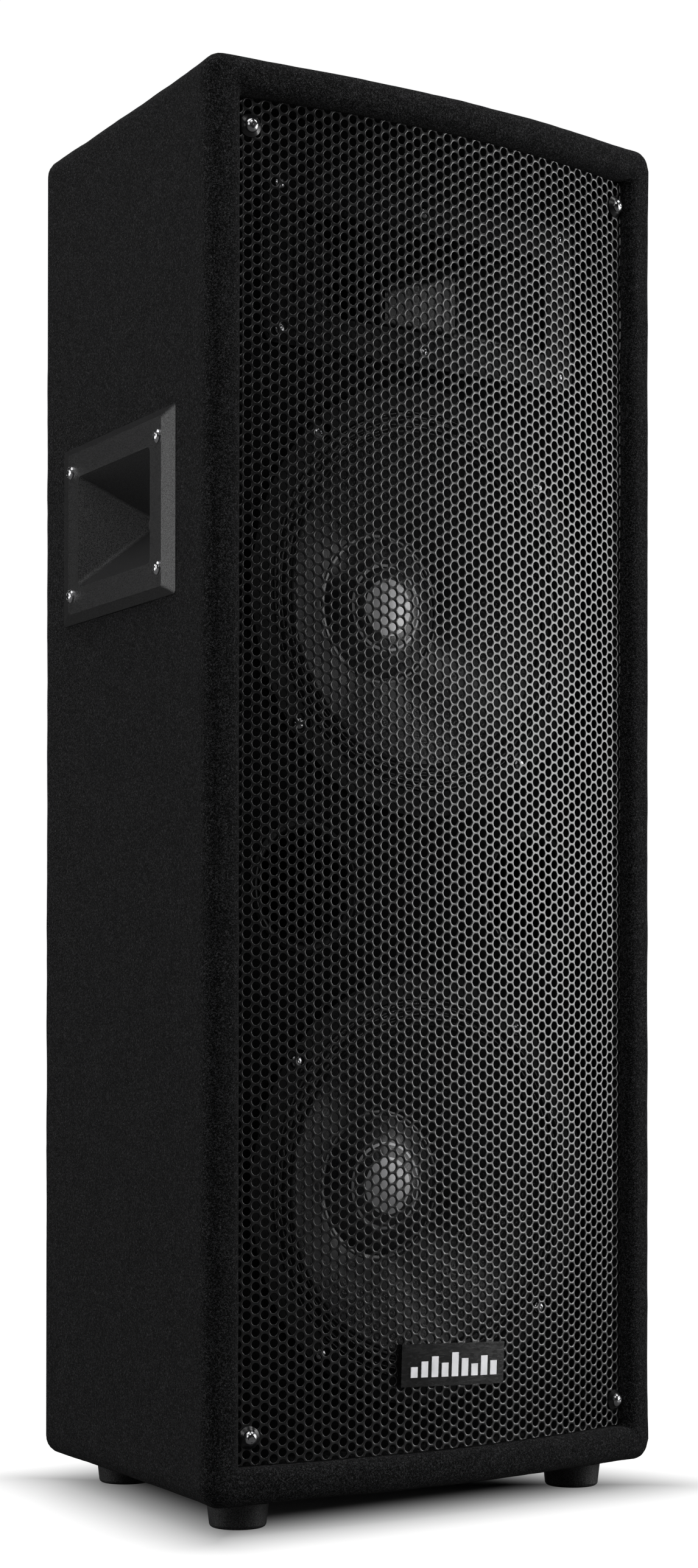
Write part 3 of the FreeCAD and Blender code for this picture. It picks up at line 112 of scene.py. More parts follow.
def merge_points(points, faces, gap=2e-6):
    """Join points that lie together and drop the faces that this closes up."""
    keys = np.round(np.asarray(points) / gap).astype(np.int64)
    _, first, index = np.unique(keys, axis=0, return_index=True, return_inverse=True)
    index = index.ravel()
    kept = []
    for face in faces:
        ring = [int(index[n]) for n in face]
        ring = [n for k, n in enumerate(ring) if n != ring[k - 1]]
        if len(set(ring)) > 2:
            kept.append(ring)
    return np.asarray(points)[first], kept


def loop_faces(rows, columns, closed_rows=False):
    """Quads between rows of points, where each row closes on itself."""
    faces = []
    for r in range(rows if closed_rows else rows - 1):
        after = (r + 1) % rows
        for c in range(columns):
            right = (c + 1) % columns
            faces.append((r * columns + c, after * columns + c, after * columns + right, r * columns + right))
    return faces


def lathe(name, profile, centre, material, steps=160, shape=None, crease=35):
    """A closed solid turned about an axis along Y. The profile holds (radius, y) in metres, and
    shape(radius, y, angle) may move a point along the axis."""
    profile = np.asarray(profile, float)
    angle = np.arange(steps) * 2 * math.pi / steps
    radius = np.repeat(profile[:, :1], steps, axis=1)
    along = np.repeat(profile[:, 1:], steps, axis=1)
    if shape:
        along = along + shape(radius, along, angle[None, :])
    points = np.stack([centre[0] + radius * np.cos(angle), centre[1] + along,
                       centre[2] + radius * np.sin(angle)], axis=2).reshape(-1, 3)
    points, faces = merge_points(points, loop_faces(len(profile), steps, closed_rows=True))
    return make_mesh(name, points, faces, material, crease)


def sheet_profile(front, gauge):
    """A closed profile: the front line and the same line set back by the gauge."""
    return list(front) + [(r, y + gauge) for r, y in reversed(front)]


def centre_of(node):
    low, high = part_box(node)
    return (low + high) / 2


# ---------------------------------------------------------------- material helpers
WAVE_SCALE = 0.314          # Blender's wave texture repeats every 0.314 at a scale of one
MIDDLE_NOISE = (0.3, 0.7)   # the part of a noise's range that most of its points lie in
DOTTED_FROM = (0.070, 0.078)    # radii over which the dots on a cone begin
FLARE_SHINE = (0.003, 0.012)    # depths behind the horn's flange over which it turns glossy


class Surface:
    """A procedural material in object coordinates, with helpers for noise, masks and bump."""

    def __init__(self, name, colour, roughness, metallic=0.0, **inputs):
        self.material = bpy.data.materials.new(name)
        self.material.use_nodes = True
        self.tree = self.material.node_tree
        self.shader = self.tree.nodes["Principled BSDF"]
        self.set("Base Color", (*colour, 1))
        self.set("Roughness", roughness)
        self.set("Metallic", metallic)
        for key, amount in inputs.items():
            self.set(key.replace("_", " ").title().replace("Ior", "IOR"), amount)
        self.coordinates = self.tree.nodes.new("ShaderNodeTexCoord").outputs["Object"]
        self.last_bump = None

    def set(self, key, amount):
        self.shader.inputs[key].default_value = amount

    def link(self, source, target):
        self.tree.links.new(source, target)

    def stretched(self, stretch):
        node = self.tree.nodes.new("ShaderNodeVectorMath")
        node.operation = "MULTIPLY"
        node.inputs[1].default_value = stretch
        self.link(self.coordinates, node.inputs[0])
        return node.outputs[0]

    def noise(self, size, detail=2.0, roughness=0.5, stretch=None, distortion=0.0):
        """Noise whose features are about size metres across."""
        node = self.tree.nodes.new("ShaderNodeTexNoise")
        node.inputs["Scale"].default_value = 1 / size
        node.inputs["Detail"].default_value = detail
        node.inputs["Roughness"].default_value = roughness
        node.inputs["Distortion"].default_value = distortion
        self.link(self.stretched(stretch) if stretch else self.coordinates, node.inputs["Vector"])
        return node.outputs["Fac"]

    def cells(self, size):
        """Distance from the middle of cells about size metres across."""
        node = self.tree.nodes.new("ShaderNodeTexVoronoi")
        node.feature = "F1"
        node.inputs["Scale"].default_value = 1 / size
        self.link(self.coordinates, node.inputs["Vector"])
        return node.outputs["Distance"]

    def waves(self, size, direction):
        """Straight bands that repeat every size metres along a direction."""
        node = self.tree.nodes.new("ShaderNodeTexWave")
        node.bands_direction = direction
        node.inputs["Scale"].default_value = WAVE_SCALE / size
        self.link(self.coordinates, node.inputs["Vector"])
        return node.outputs["Fac"]

    def axis(self, letter):
        """One coordinate of the point."""
        node = self.tree.nodes.new("ShaderNodeSeparateXYZ")
        self.link(self.coordinates, node.inputs[0])
        return node.outputs[letter]

    def distance(self, centre):
        """Distance from an axis along Y through the centre."""
        shift = self.tree.nodes.new("ShaderNodeVectorMath")
        shift.operation = "SUBTRACT"
        shift.inputs[1].default_value = centre
        self.link(self.coordinates, shift.inputs[0])
        flat = self.tree.nodes.new("ShaderNodeVectorMath")
        flat.operation = "MULTIPLY"
        flat.inputs[1].default_value = (1, 0, 1)
        self.link(shift.outputs[0], flat.inputs[0])
        length = self.tree.nodes.new("ShaderNodeVectorMath")
        length.operation = "LENGTH"
        self.link(flat.outputs[0], length.inputs[0])
        return length.outputs["Value"]

    def math(self, operation, first, second=0.0):
        node = self.tree.nodes.new("ShaderNodeMath")
        node.operation = operation
        for socket, item in zip(node.inputs, (first, second)):
            if isinstance(item, (int, float)):
                socket.default_value = item
            else:
                self.link(item, socket)
        return node.outputs[0]

    def span(self, source, low, high, start=0.0, end=1.0):
        """The source remapped from low..high to start..end, and held at its ends."""
        node = self.tree.nodes.new("ShaderNodeMapRange")
        for key, amount in zip(("From Min", "From Max", "To Min", "To Max"), (low, high, start, end)):
            node.inputs[key].default_value = amount
        self.link(source, node.inputs["Value"])
        return node.outputs["Result"]

    def tint(self, mask, low, high):
        """Base colour from low to high by a mask."""
        node = self.tree.nodes.new("ShaderNodeMix")
        node.data_type = "RGBA"
        node.inputs[6].default_value = (*low, 1)
        node.inputs[7].default_value = (*high, 1)
        self.link(mask, node.inputs[0])
        self.link(node.outputs[2], self.shader.inputs["Base Color"])

    def rough(self, mask, low, high):
        self.link(self.span(mask, 0, 1, low, high), self.shader.inputs["Roughness"])

    def bump(self, height, distance, strength=1.0):
        """Bump of the given height in metres, on top of any earlier bump."""
        node = self.tree.nodes.new("ShaderNodeBump")
        node.inputs["Distance"].default_value = distance
        node.inputs["Strength"].default_value = strength
        self.link(height, node.inputs["Height"])
        if self.last_bump:
            self.link(self.last_bump, node.inputs["Normal"])
        self.last_bump = node.outputs["Normal"]
        self.link(self.last_bump, self.shader.inputs["Normal"])


def moulded(name, colour, roughness, grain=0.0006, height=0.00004, mottle=0.25, metallic=0.0, **inputs):
    """Moulded, cast or painted surface: fine grain, uneven sheen and a slight colour drift."""
    made = Surface(name, colour, roughness, metallic, **inputs)
    drift = made.noise(0.03, 3)
    low = tuple(c * (1 - mottle) for c in colour)
    high = tuple(min(1, c * (1 + mottle)) for c in colour)
    made.tint(made.span(drift, *MIDDLE_NOISE), low, high)
    made.rough(made.span(made.noise(0.008, 4), *MIDDLE_NOISE),
               max(0.02, roughness - 0.07), min(1, roughness + 0.07))
    made.bump(made.noise(grain, 2), height)
    return made


def carpet_material():
    """Needled felt: near-black fibres with paler ones among them, and a dusty sheen."""
    dark, pale = (0.0015, 0.0015, 0.0016), (0.085, 0.085, 0.088)
    made = Surface("felt_carpet", (0.01, 0.01, 0.01), 1.0, sheen_weight=0.03, sheen_roughness=0.5,
                   specular_ior_level=0.05)
    fibre = made.noise(0.0009, 4, 0.75, distortion=1.5)
    strand = made.noise(0.0014, 3, 0.7, distortion=0.8)
    clump = made.noise(0.012, 3, 0.6)
    mixed = made.math("ADD", made.math("MULTIPLY", fibre, 0.7), made.math("MULTIPLY", strand, 0.3))
    mixed = made.math("ADD", mixed, made.math("MULTIPLY", clump, 0.03))
    made.tint(made.span(mixed, 0.52, 0.64), dark, pale)
    made.bump(clump, 0.0004, 0.4)
    made.bump(strand, 0.0005, 0.6)
    made.bump(fibre, 0.0006, 0.9)
    return made.material


def grille_material():
    """Stoved semi-gloss black on steel, with a slight orange peel."""
    made = Surface("grille_paint", (0.004, 0.004, 0.0043), 0.3, specular_ior_level=0.6, coat_weight=0.25,
                   coat_roughness=0.22)
    made.rough(made.span(made.noise(0.01, 4), *MIDDLE_NOISE), 0.26, 0.36)
    made.bump(made.noise(0.0014, 2), 0.00002)
    return made.material


def plywood_material():
    """Birch plywood: drawn-out grain on the faces."""
    made = Surface("birch_plywood", (0.5, 0.36, 0.2), 0.62)
    grain = made.noise(0.004, 5, 0.6, (1.0, 1.0, 0.06), 0.4)
    made.tint(made.span(grain, *MIDDLE_NOISE), (0.36, 0.23, 0.11), (0.58, 0.43, 0.25))
    made.bump(grain, 0.0002, 0.4)
    return made.material


def cone_material(centre):
    """Pressed paper with a glossy dope coat, and small embossed dots over the outer zone, whose lighter colour
    is a painted highlight.
    """
    made = Surface("doped_paper_cone", (0.012, 0.012, 0.013), 0.3, specular_ior_level=0.5)
    radius = made.distance(centre)
    outer = made.span(radius, *DOTTED_FROM)
    pulp = made.noise(0.0016, 4, 0.7)
    made.rough(made.span(made.noise(0.012, 3), *MIDDLE_NOISE), 0.22, 0.38)
    dots = made.math("MULTIPLY", made.span(made.cells(0.0021), 0.5, 0.1), outer)
    # The pulp flecks are the paper's own tone. The dots' lighter colour is a painted highlight on their
    # embossing.
    pulp_tone_and_dot_highlight = made.math("ADD", made.math("MULTIPLY", made.span(pulp, 0.35, 0.7), 0.3),
                      made.math("MULTIPLY", dots, 0.7))
    made.tint(pulp_tone_and_dot_highlight, (0.006, 0.006, 0.0064), (0.06, 0.06, 0.062))
    made.bump(pulp, 0.00008, 0.6)
    made.bump(dots, 0.00022, 0.8)
    return made.material


def cloth_material(name, colour, pitch, roughness=0.6):
    """Coated woven cloth: two crossed sets of threads."""
    made = Surface(name, colour, roughness, specular_ior_level=0.5)
    weave = made.math("MULTIPLY", made.waves(pitch, "X"), made.waves(pitch, "Z"))
    wear = made.noise(0.004, 4, 0.6)
    low = tuple(c * 0.6 for c in colour)
    high = tuple(min(1, c * 1.7) for c in colour)
    made.tint(made.span(made.math("ADD", wear, made.math("MULTIPLY", weave, 0.25)), 0.35, 0.85), low, high)
    made.rough(made.span(wear, *MIDDLE_NOISE), roughness - 0.12, roughness + 0.12)
    made.bump(weave, 0.00012, 0.8)
    return made.material


def grained_material(name, colour, roughness):
    """Moulding with an even, sandy spark-eroded grain."""
    made = Surface(name, colour, roughness)
    sand = made.noise(0.0007, 2, 0.7)
    grains = (0.38, 0.64)
    made.tint(made.span(sand, *grains), tuple(c * 0.3 for c in colour), tuple(c * 2.0 for c in colour))
    made.link(made.span(sand, *grains, 0.25, 0.75), made.shader.inputs["Specular IOR Level"])
    made.rough(made.span(sand, 0.35, 0.65), roughness - 0.03, roughness + 0.05)
    made.bump(sand, 0.00012, 0.8)
    return made.material


def horn_material():
    """Black ABS: matt on the flat flange, and glossier down the flare."""
    made = moulded("horn_abs", (0.005, 0.005, 0.0053), 0.24, 0.0007, 0.00003)
    start, end = (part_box("horn_flare")[0].y + behind for behind in FLARE_SHINE)
    matt, glossy = 0.06, 0.7
    made.link(made.span(made.axis("Y"), start, end, matt, glossy), made.shader.inputs["Specular IOR Level"])
    return made.material


def badge_material():
    """Gloss black plate with faint drawn-out ripples."""
    made = Surface("badge_gloss", (0.003, 0.003, 0.0032), 0.24, specular_ior_level=0.45)
    ripple = made.noise(0.0022, 3, 0.6, (0.35, 1.0, 1.0), 0.6)
    made.rough(made.span(ripple, *MIDDLE_NOISE), 0.18, 0.34)
    made.bump(ripple, 0.00012, 0.7)
    return made.material


def coil_material():
    made = Surface("copper_winding", (0.55, 0.2, 0.07), 0.3, 1.0)
    turns = made.waves(0.0006, "Y")
    made.tint(made.span(turns, 0.2, 0.8), (0.25, 0.08, 0.03), (0.7, 0.3, 0.12))
    made.bump(turns, 0.0002, 0.8)
    return made.material


def wadding_material():
    made = Surface("polyester_wadding", (0.62, 0.62, 0.6), 1.0, sheen_weight=0.5)
    fibre = made.noise(0.0016, 5, 0.8, distortion=2.0)
    made.tint(made.span(fibre, *MIDDLE_NOISE), (0.45, 0.45, 0.43), (0.8, 0.8, 0.78))
    made.bump(fibre, 0.0015, 0.8)
    return made.material


def board_material():
    made = Surface("circuit_board", (0.015, 0.09, 0.04), 0.35, specular_ior_level=0.6)
    tracks = made.span(made.cells(0.009), 0.18, 0.24)
    made.tint(tracks, (0.03, 0.16, 0.07), (0.012, 0.075, 0.032))
    made.bump(tracks, 0.00005, 0.5)
    return made.material


UPPER = centre_of("upper_trim_ring")
LOWER = centre_of("lower_trim_ring")

FINISHES = {
    "plywood": plywood_material(),
    "baffle_black": moulded("black_paint_on_ply", (0.0024, 0.0024, 0.0026), 0.8, 0.0012, 0.00012,
                            specular_ior_level=0.06).material,
    "carpet": carpet_material(),
    "grille_steel": grille_material(),
    "screw_black": moulded("black_zinc_screw", (0.42, 0.42, 0.43), 0.2, metallic=1.0).material,
    "cup_black": moulded("black_cup_washer", (0.006, 0.006, 0.0065), 0.22, specular_ior_level=0.6).material,
    "post_plastic": moulded("post_nylon", (0.02, 0.02, 0.02), 0.5).material,
    "badge_black": badge_material(),
    "badge_bars": moulded("silver_bars", (0.88, 0.88, 0.9), 0.38, metallic=0.85, mottle=0.04).material,
    "basket_steel": moulded("basket_paint", (0.004, 0.004, 0.0042), 0.6, 0.0009, 0.00006,
                            specular_ior_level=0.12).material,
    "trim_ring": moulded("ring_fibre_board", (0.005, 0.005, 0.0052), 0.65, 0.0007, 0.00007,
                         specular_ior_level=0.12).material,
    "surround_cloth": cloth_material("doped_roll_cloth", (0.009, 0.009, 0.0093), 0.0009, 0.36),
    "cone_paper": cone_material(UPPER),
    "cap_paper": moulded("cap_paper", (0.012, 0.012, 0.013), 0.26, 0.0009, 0.00003).material,
    "copper_coil": coil_material(),
    "spider_cloth": cloth_material("spider_cloth", (0.42, 0.27, 0.1), 0.0012, 0.7),
    "ferrite": moulded("ferrite", (0.035, 0.033, 0.035), 0.6, 0.0015, 0.0001).material,
    "plated_steel": moulded("zinc_plate", (0.55, 0.55, 0.53), 0.32, metallic=1.0).material,
    "tag_board": moulded("tag_board", (0.26, 0.14, 0.06), 0.6).material,
    "horn_plastic": horn_material(),
    "throat_alloy": moulded("throat_alloy", (0.5, 0.5, 0.51), 0.42, metallic=1.0).material,
    "titanium": moulded("titanium_foil", (0.55, 0.54, 0.52), 0.25, metallic=1.0).material,
    "suspension_film": moulded("suspension_film", (0.3, 0.2, 0.06), 0.3).material,
    "cover_plastic": moulded("cover_plastic", (0.02, 0.02, 0.02), 0.45).material,
    "port_plastic": moulded("port_abs", (0.005, 0.005, 0.0053), 0.45, 0.0008, 0.00005,
                            specular_ior_level=0.2).material,
    "handle_plastic": grained_material("handle_abs", (0.013, 0.013, 0.0135), 0.42),
    "screw_chrome": moulded("chrome_screw", (0.78, 0.78, 0.8), 0.2, metallic=1.0, mottle=0.05).material,
    "foot_rubber": grained_material("foot_rubber", (0.02, 0.02, 0.0205), 0.5),
    "dish_plastic": grained_material("dish_abs", (0.018, 0.018, 0.019), 0.45),
    "jack_metal": moulded("jack_nickel", (0.6, 0.58, 0.55), 0.22, metallic=1.0).material,
    "block_plastic": moulded("block_plastic", (0.02, 0.02, 0.02), 0.4).material,
    "lever_red": moulded("lever_red", (0.42, 0.012, 0.01), 0.35).material,
    "lever_black": moulded("lever_black", (0.014, 0.014, 0.014), 0.35).material,
    "circuit_board": board_material(),
    "crossover_parts": moulded("component_sleeve", (0.38, 0.13, 0.04), 0.4).material,
    "cable_sheath": moulded("cable_sheath", (0.03, 0.03, 0.032), 0.45).material,
    "wadding": wadding_material(),
}
SILVER = moulded("silver_print", (0.38, 0.38, 0.385), 0.4, metallic=0.7, mottle=0.08).material


def dress_nodes():
    """Every CAD node takes the procedural finish of its own material slot."""
    for item in nodes.values():
        for slot in item.material_slots:
            slot.material = FINISHES[slot.material.name.split(".")[0]]


# ---------------------------------------------------------------- carpet skin
def case_loop(inset, behind, along_side, along_top):
    """One closed loop round the case at an inset from its sides and a depth behind the front."""
    half = CASE_WIDTH / 2 - inset / math.cos(SIDE_TAPER) - behind * math.tan(SIDE_TAPER)
    half = max(half, 0.0)
    low, high = carpet_low.z + inset, carpet_high.z - inset
    roll = min(max(OUTER_ROLL + CORNER_SPARE - inset, CORNER_LEAST), half)
    corner = np.linspace(0, math.pi / 2, CORNER_STEPS)
    xs, zs = [], []
    turns = [(half - roll, high - roll, (-half + roll, high), along_top),
             (-half + roll, high - roll, (-half, low + roll), along_side),
             (-half + roll, low + roll, (half - roll, low), along_top),
             (half - roll, low + roll, (half, high - roll), along_side)]
    for quarter, (cx, cz, following, count) in enumerate(turns):
        xs += list(cx + roll * np.cos(corner + quarter * math.pi / 2))
        zs += list(cz + roll * np.sin(corner + quarter * math.pi / 2))
        share = np.arange(1, count) / count
        xs += list(xs[-1] + (following[0] - xs[-1]) * share)
        zs += list(zs[-1] + (following[1] - zs[-1]) * share)
    xs, zs = np.array(xs), np.array(zs)
    edge = CASE_WIDTH / 2
    bowed = front_y - CASE_BOW * (1 - np.clip(np.abs(xs) / edge, 0, 1) ** 2)
    ys = bowed + behind * (back_y - bowed) / depth
    if inset > OUTER_ROLL and INNER_ROLL < behind < depth / 2:
        share = (behind - INNER_ROLL) / (baffle_y - front_y - INNER_ROLL)
        start = bowed + INNER_ROLL
        ys = start + share * (baffle_y - start)
    return np.stack([xs, ys, zs], axis=1)


def carpet_profile():
    """(inset, depth) from the baffle, over the lip, along the sides and in across the back."""
    arc = np.linspace(0, math.pi / 2, ROLL_STEPS)
    stops = [(LIP, d) for d in np.linspace(baffle_y - front_y, INNER_ROLL, 4)]
    stops += [(LIP - INNER_ROLL * (1 - math.cos(t)), INNER_ROLL * (1 - math.sin(t))) for t in arc[1:]]
    stops += [(OUTER_ROLL * (1 - math.sin(t)), OUTER_ROLL * (1 - math.cos(t))) for t in arc]
    rows = int((depth - 2 * OUTER_ROLL) / CARPET_STEP)
    stops += [(0, OUTER_ROLL + (depth - 2 * OUTER_ROLL) * n / rows) for n in range(1, rows + 1)]
    stops += [(OUTER_ROLL * (1 - math.cos(t)), depth - OUTER_ROLL * (1 - math.sin(t))) for t in arc[1:]]
    reach = (CASE_WIDTH / 2 - depth * math.tan(SIDE_TAPER)) * math.cos(SIDE_TAPER)
    rows = int((reach - OUTER_ROLL) / (2 * CARPET_STEP))
    stops += [(OUTER_ROLL + (reach - OUTER_ROLL) * n / rows, depth) for n in range(1, rows + 1)]
    return stops


def soften(points):
    """Small unevenness of glued felt, and fuller corners where the carpet is folded."""
    corners = [Vector((sx * CASE_WIDTH / 2, front_y, z)) for sx in (-1, 1)
               for z in (carpet_low.z, carpet_high.z)]
    middle = Vector((0, (front_y + back_y) / 2, (carpet_low.z + carpet_high.z) / 2))
    moved = []
    for point in points:
        place = Vector(point)
        wobble = sum(noise.noise(place * pace) * height for pace, height in FELT_WOBBLES)
        rise = place.z - middle.z
        on_side = abs(place.x) / (CASE_WIDTH / 2) > abs(rise) / CASE_HALF_HEIGHT
        outward = (math.copysign(1, place.x), 0, 0) if on_side else (0, 0, math.copysign(1, rise))
        fold = sum(math.exp(-((place - corner).length / FOLD_REACH) ** 2) for corner in corners)
        moved.append(place + Vector(outward) * (wobble + FOLD_SWELL * fold))
    return np.array([list(place) for place in moved])


def uncut(middles):
    """Which faces stay, by their middles: those outside the openings behind the handles and the rear dish."""
    keep = np.ones(len(middles), bool)
    half_y, half_z = HANDLE_HOLE
    for name, side in (("handle_left", -1), ("handle_right", 1)):
        handle = centre_of(name)
        keep &= ~((middles[:, 0] * side > HANDLE_ZONE)
                  & (np.abs(middles[:, 1] - (handle.y - HANDLE_HOLE_SHIFT)) < half_y)
                  & (np.abs(middles[:, 2] - handle.z) < half_z))
    dish_low, dish_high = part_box("terminal_dish")
    keep &= ~((middles[:, 1] > back_y - BACK_ZONE)
              & (middles[:, 0] > dish_low.x + DISH_RIM) & (middles[:, 0] < dish_high.x - DISH_RIM)
              & (middles[:, 2] > dish_low.z + DISH_RIM) & (middles[:, 2] < dish_high.z - DISH_RIM))
    return keep


def carpet_skin():
    """The felt over the whole case, as one thick skin."""
    top_steps = int(CASE_WIDTH / CARPET_STEP)
    side_steps = int((carpet_high.z - carpet_low.z) / CARPET_STEP)
    stops = carpet_profile()
    rows = [case_loop(inset, behind, side_steps, top_steps) for inset, behind in stops]
    columns = len(rows[0])
    points, faces = merge_points(np.concatenate(rows), loop_faces(len(rows), columns))
    middles = np.array([np.mean([points[n] for n in face], axis=0) for face in faces])
    faces = [face for face, kept in zip(faces, uncut(middles)) if kept]
    skin = make_mesh("carpet_skin", soften(points), faces, FINISHES["carpet"], CARPET_CREASE)
    thick = skin.modifiers.new("thickness", "SOLIDIFY")
    thick.thickness = CARPET_THICK
    thick.offset = -1
    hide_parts("carpet_cover")
    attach(skin, CABINET)


# ---------------------------------------------------------------- perforated grille
grille_low, grille_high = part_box("grille")
GRILLE_BEND = (grille_high.x ** 2 + GRILLE_SAGITTA ** 2) / (2 * GRILLE_SAGITTA)


def bend(flat):
    """Wrap (across, deep, up) points round the grille's bow."""
    turn = flat[:, 0] / GRILLE_BEND
    radius = GRILLE_BEND - flat[:, 1]
    deep = grille_low.y + GRILLE_BEND - radius * np.cos(turn)
    return np.stack([radius * np.sin(turn), deep, flat[:, 2]], axis=1)


def hole_ring(radius, deep):
    angle = np.arange(HOLE_SIDES) * math.pi / (HOLE_SIDES / 2)
    return np.stack([radius * np.cos(angle), np.full(HOLE_SIDES, deep), radius * np.sin(angle)], axis=1)


def cell_border(deep):
    """Twelve points on the edge of one six-sided cell: its corners and the middles of its sides."""
    corner = np.arange(6) * math.pi / 3
    reach = HOLE_PITCH / math.sqrt(3)
    corners = np.stack([reach * np.cos(corner), np.full(6, deep), reach * np.sin(corner)], axis=1)
    middles = (corners + np.roll(corners, -1, axis=0)) / 2
    return np.stack([corners, middles], axis=1).reshape(-1, 3)


def clip(mesh, planes):
    """Cut a mesh back to the inner side of every plane, given as (point, outward direction)."""
    shape = bmesh.new()
    shape.from_mesh(mesh)
    for point, outward in planes:
        geometry = shape.verts[:] + shape.edges[:] + shape.faces[:]
        bmesh.ops.bisect_plane(shape, geom=geometry, plane_co=point, plane_no=outward, clear_outer=True)
    shape.to_mesh(mesh)
    shape.free()


def perforated_grille():
    """The bowed sheet in bands: every hole is cut, rounded and walled, and the edges are trimmed."""
    step = HOLE_PITCH * math.sqrt(3) / 2
    half = GRILLE_BEND * math.asin(grille_high.x / GRILLE_BEND)
    columns = 2 * int((half - HOLE_PITCH / math.sqrt(3)) / step) + 2
    rows = int((grille_high.z - grille_low.z) / HOLE_PITCH) + 2
    base_z = (grille_low.z + grille_high.z) / 2 - (rows - 0.5) / 2 * HOLE_PITCH
    lip = [hole_ring(HOLE_RADIUS + across * HOLE_ROUNDING, deep * HOLE_ROUNDING) for across, deep in HOLE_LIP]
    template = [cell_border(0.0)] + lip + [hole_ring(HOLE_RADIUS, GRILLE_GAUGE), cell_border(GRILLE_GAUGE)]
    cell_faces = [tuple(reversed(face)) for face in loop_faces(len(template), HOLE_SIDES)]
    template = np.concatenate(template)
    edges = [((half, 0, 0), (1, 0, 0)), ((-half, 0, 0), (-1, 0, 0)),
             ((0, 0, grille_high.z), (0, 0, 1)), ((0, 0, grille_low.z), (0, 0, -1))]
    pieces = []
    for band in range(GRILLE_BANDS):
        points, faces = [], []
        for r in range(band * rows // GRILLE_BANDS, (band + 1) * rows // GRILLE_BANDS):
            for c in range(columns):
                middle = np.array([(c - (columns - 1) / 2) * step, 0.0,
                                   base_z + r * HOLE_PITCH + (c % 2) * HOLE_PITCH / 2])
                offset = len(points) * len(template)
                points.append(template + middle)
                faces += [tuple(n + offset for n in face) for face in cell_faces]
        points, faces = merge_points(np.concatenate(points), faces)
        piece = make_mesh("grille_sheet_%d" % (band + 1), points, faces, FINISHES["grille_steel"],
                          GRILLE_CREASE)
        clip(piece.data, edges)
        flat = np.array([list(v.co) for v in piece.data.vertices])
        piece.data.vertices.foreach_set("co", bend(flat).ravel())
        piece.data.update()
        pieces.append(piece)
    pieces.append(grille_returns(half))
    for piece in pieces:
        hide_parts("grille")
        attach(piece, CABINET)


def grille_returns(half):
    """The two folded returns that lean back to the baffle."""
    points, faces = [], []
    heel = baffle_y - RETURN_GAP
    for side in (-1, 1):
        edge = bend(np.array([(side * half, 0.0, 0.0)]))[0]
        lean = (heel - edge[1]) * math.tan(SIDE_TAPER)
        section = [(edge[0], edge[1]), (edge[0] - side * lean, heel),
                   (edge[0] - side * (lean + GRILLE_GAUGE), heel),
                   (edge[0] - side * GRILLE_GAUGE, edge[1] + RETURN_FOLD)]
        start = len(points)
        points += [(x, y, z) for z in (grille_low.z, grille_high.z) for x, y in section]
        quads = [(n, (n + 1) % 4, (n + 1) % 4 + 4, n + 4) for n in range(4)] + [(3, 2, 1, 0), (4, 5, 6, 7)]
        faces += [tuple(n + start for n in (quad if side > 0 else quad[::-1])) for quad in quads]
    return make_mesh("grille_returns", points, faces, FINISHES["grille_steel"], GRILLE_CREASE)


# ---------------------------------------------------------------- woofers
# Radii are from the driver's axis. Depths are behind the baffle's face, so a minus sign is in front of it.
CLOTH_OUTER = 0.1405
RING_INNER = 0.1374
CONE_EDGE = 0.122
SURROUND_INNER = 0.117
CAP = 0.053
FORMER = 0.026
SPIDER_OUTER = 0.074
CLOTH_SEAT = -0.0026
CLOTH_HEELS = ((CONE_EDGE - 0.0016, -0.0022), (SURROUND_INNER + 0.001, -0.0012))
CLOTH_GAUGE = 0.0006
CLOTH_CREASE = 70
ROLLS = 3
ROLL_HEIGHT = 0.0019
ROLL_LIFT = 0.0013          # how far the rolls stand in front of the cloth's seat
ROLL_LIFT_PACE = 6
EDGE_STEPS = 36
PLEATS = 84
PLEAT_STEPS = 6
CRIMP_HEIGHT = 0.00028
CRIMP_FADE = 0.003
CRIMP_PACE = 900
CONE_DEPTH = 0.062
CONE_GAUGE = 0.001
CONE_STEPS = 192
CONE_FLANGE = ((CONE_EDGE, -0.0012), (CONE_EDGE - 0.001, -0.0016), (SURROUND_INNER + 0.0012, -0.0006))
CAP_SWELL = 1.08            # the cone's depth at the cap against a straight cone's
CAP_SEAT = (SURROUND_INNER - CAP) * CONE_DEPTH / (SURROUND_INNER - FORMER) * CAP_SWELL
CAP_RISE = 0.013
CAP_GAUGE = 0.0008
CAP_STEPS = 160
EDGE_BEAD = (CONE_EDGE - 0.0035, 0.0016, -0.0021, 0.0007)       # radius, half width, depth, half height
GLUE_BEAD = (CAP + 0.0008, 0.0028, CAP_SEAT - 0.0002, 0.0013)
BEAD_STEPS = 12
PRINTS = (("disc", 0.0, 0.021), ("ring", 0.03, 0.032))          # inner and outer radius
PRINT_RAISE = 0.00018
PRINT_GAUGE = 0.00016
SPIDER_DEPTH = 0.071
SPIDER_GAUGE = 0.0005
SPIDER_ROLLS = 7
SPIDER_ROLL_HEIGHT = 0.0013
SPIDER_RIMS = (0.003, 0.006)    # the flat rim outside the rolls, and both flat rims together
SPIDER_STEPS = 60
FILM_STEPS = 12
FILM_OUTER = 0.048
FILM_ROLL = (0.026, 0.0056, 0.0015)     # outer radius, width and height of the film's roll
FILM_GAUGE = 0.0005


def follow(piece, centre, still, moving):
    """Bake a ring's placement into its mesh and work out its share between the cabinet and a moving body by
    its distance from the axis. The share is left unused.
    """
    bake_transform(piece)
    place = np.array([list(v.co) for v in piece.data.vertices])
    radius = np.hypot(place[:, 0] - centre.x, place[:, 2] - centre.z)
    share = np.clip((still - radius) / (still - moving), 0, 1)
    share = share * share * (3 - 2 * share)


def cone_depth_at(radius):
    """Depth of the cone's face behind the baffle: straight with a slight swell."""
    share = (radius - FORMER) / (SURROUND_INNER - FORMER)
    middle = (CAP - FORMER) / (SURROUND_INNER - FORMER)
    swell = CAP_SEAT - CONE_DEPTH * (1 - middle)
    return CONE_DEPTH * (1 - share) + swell * share * (1 - share) / (middle * (1 - middle))


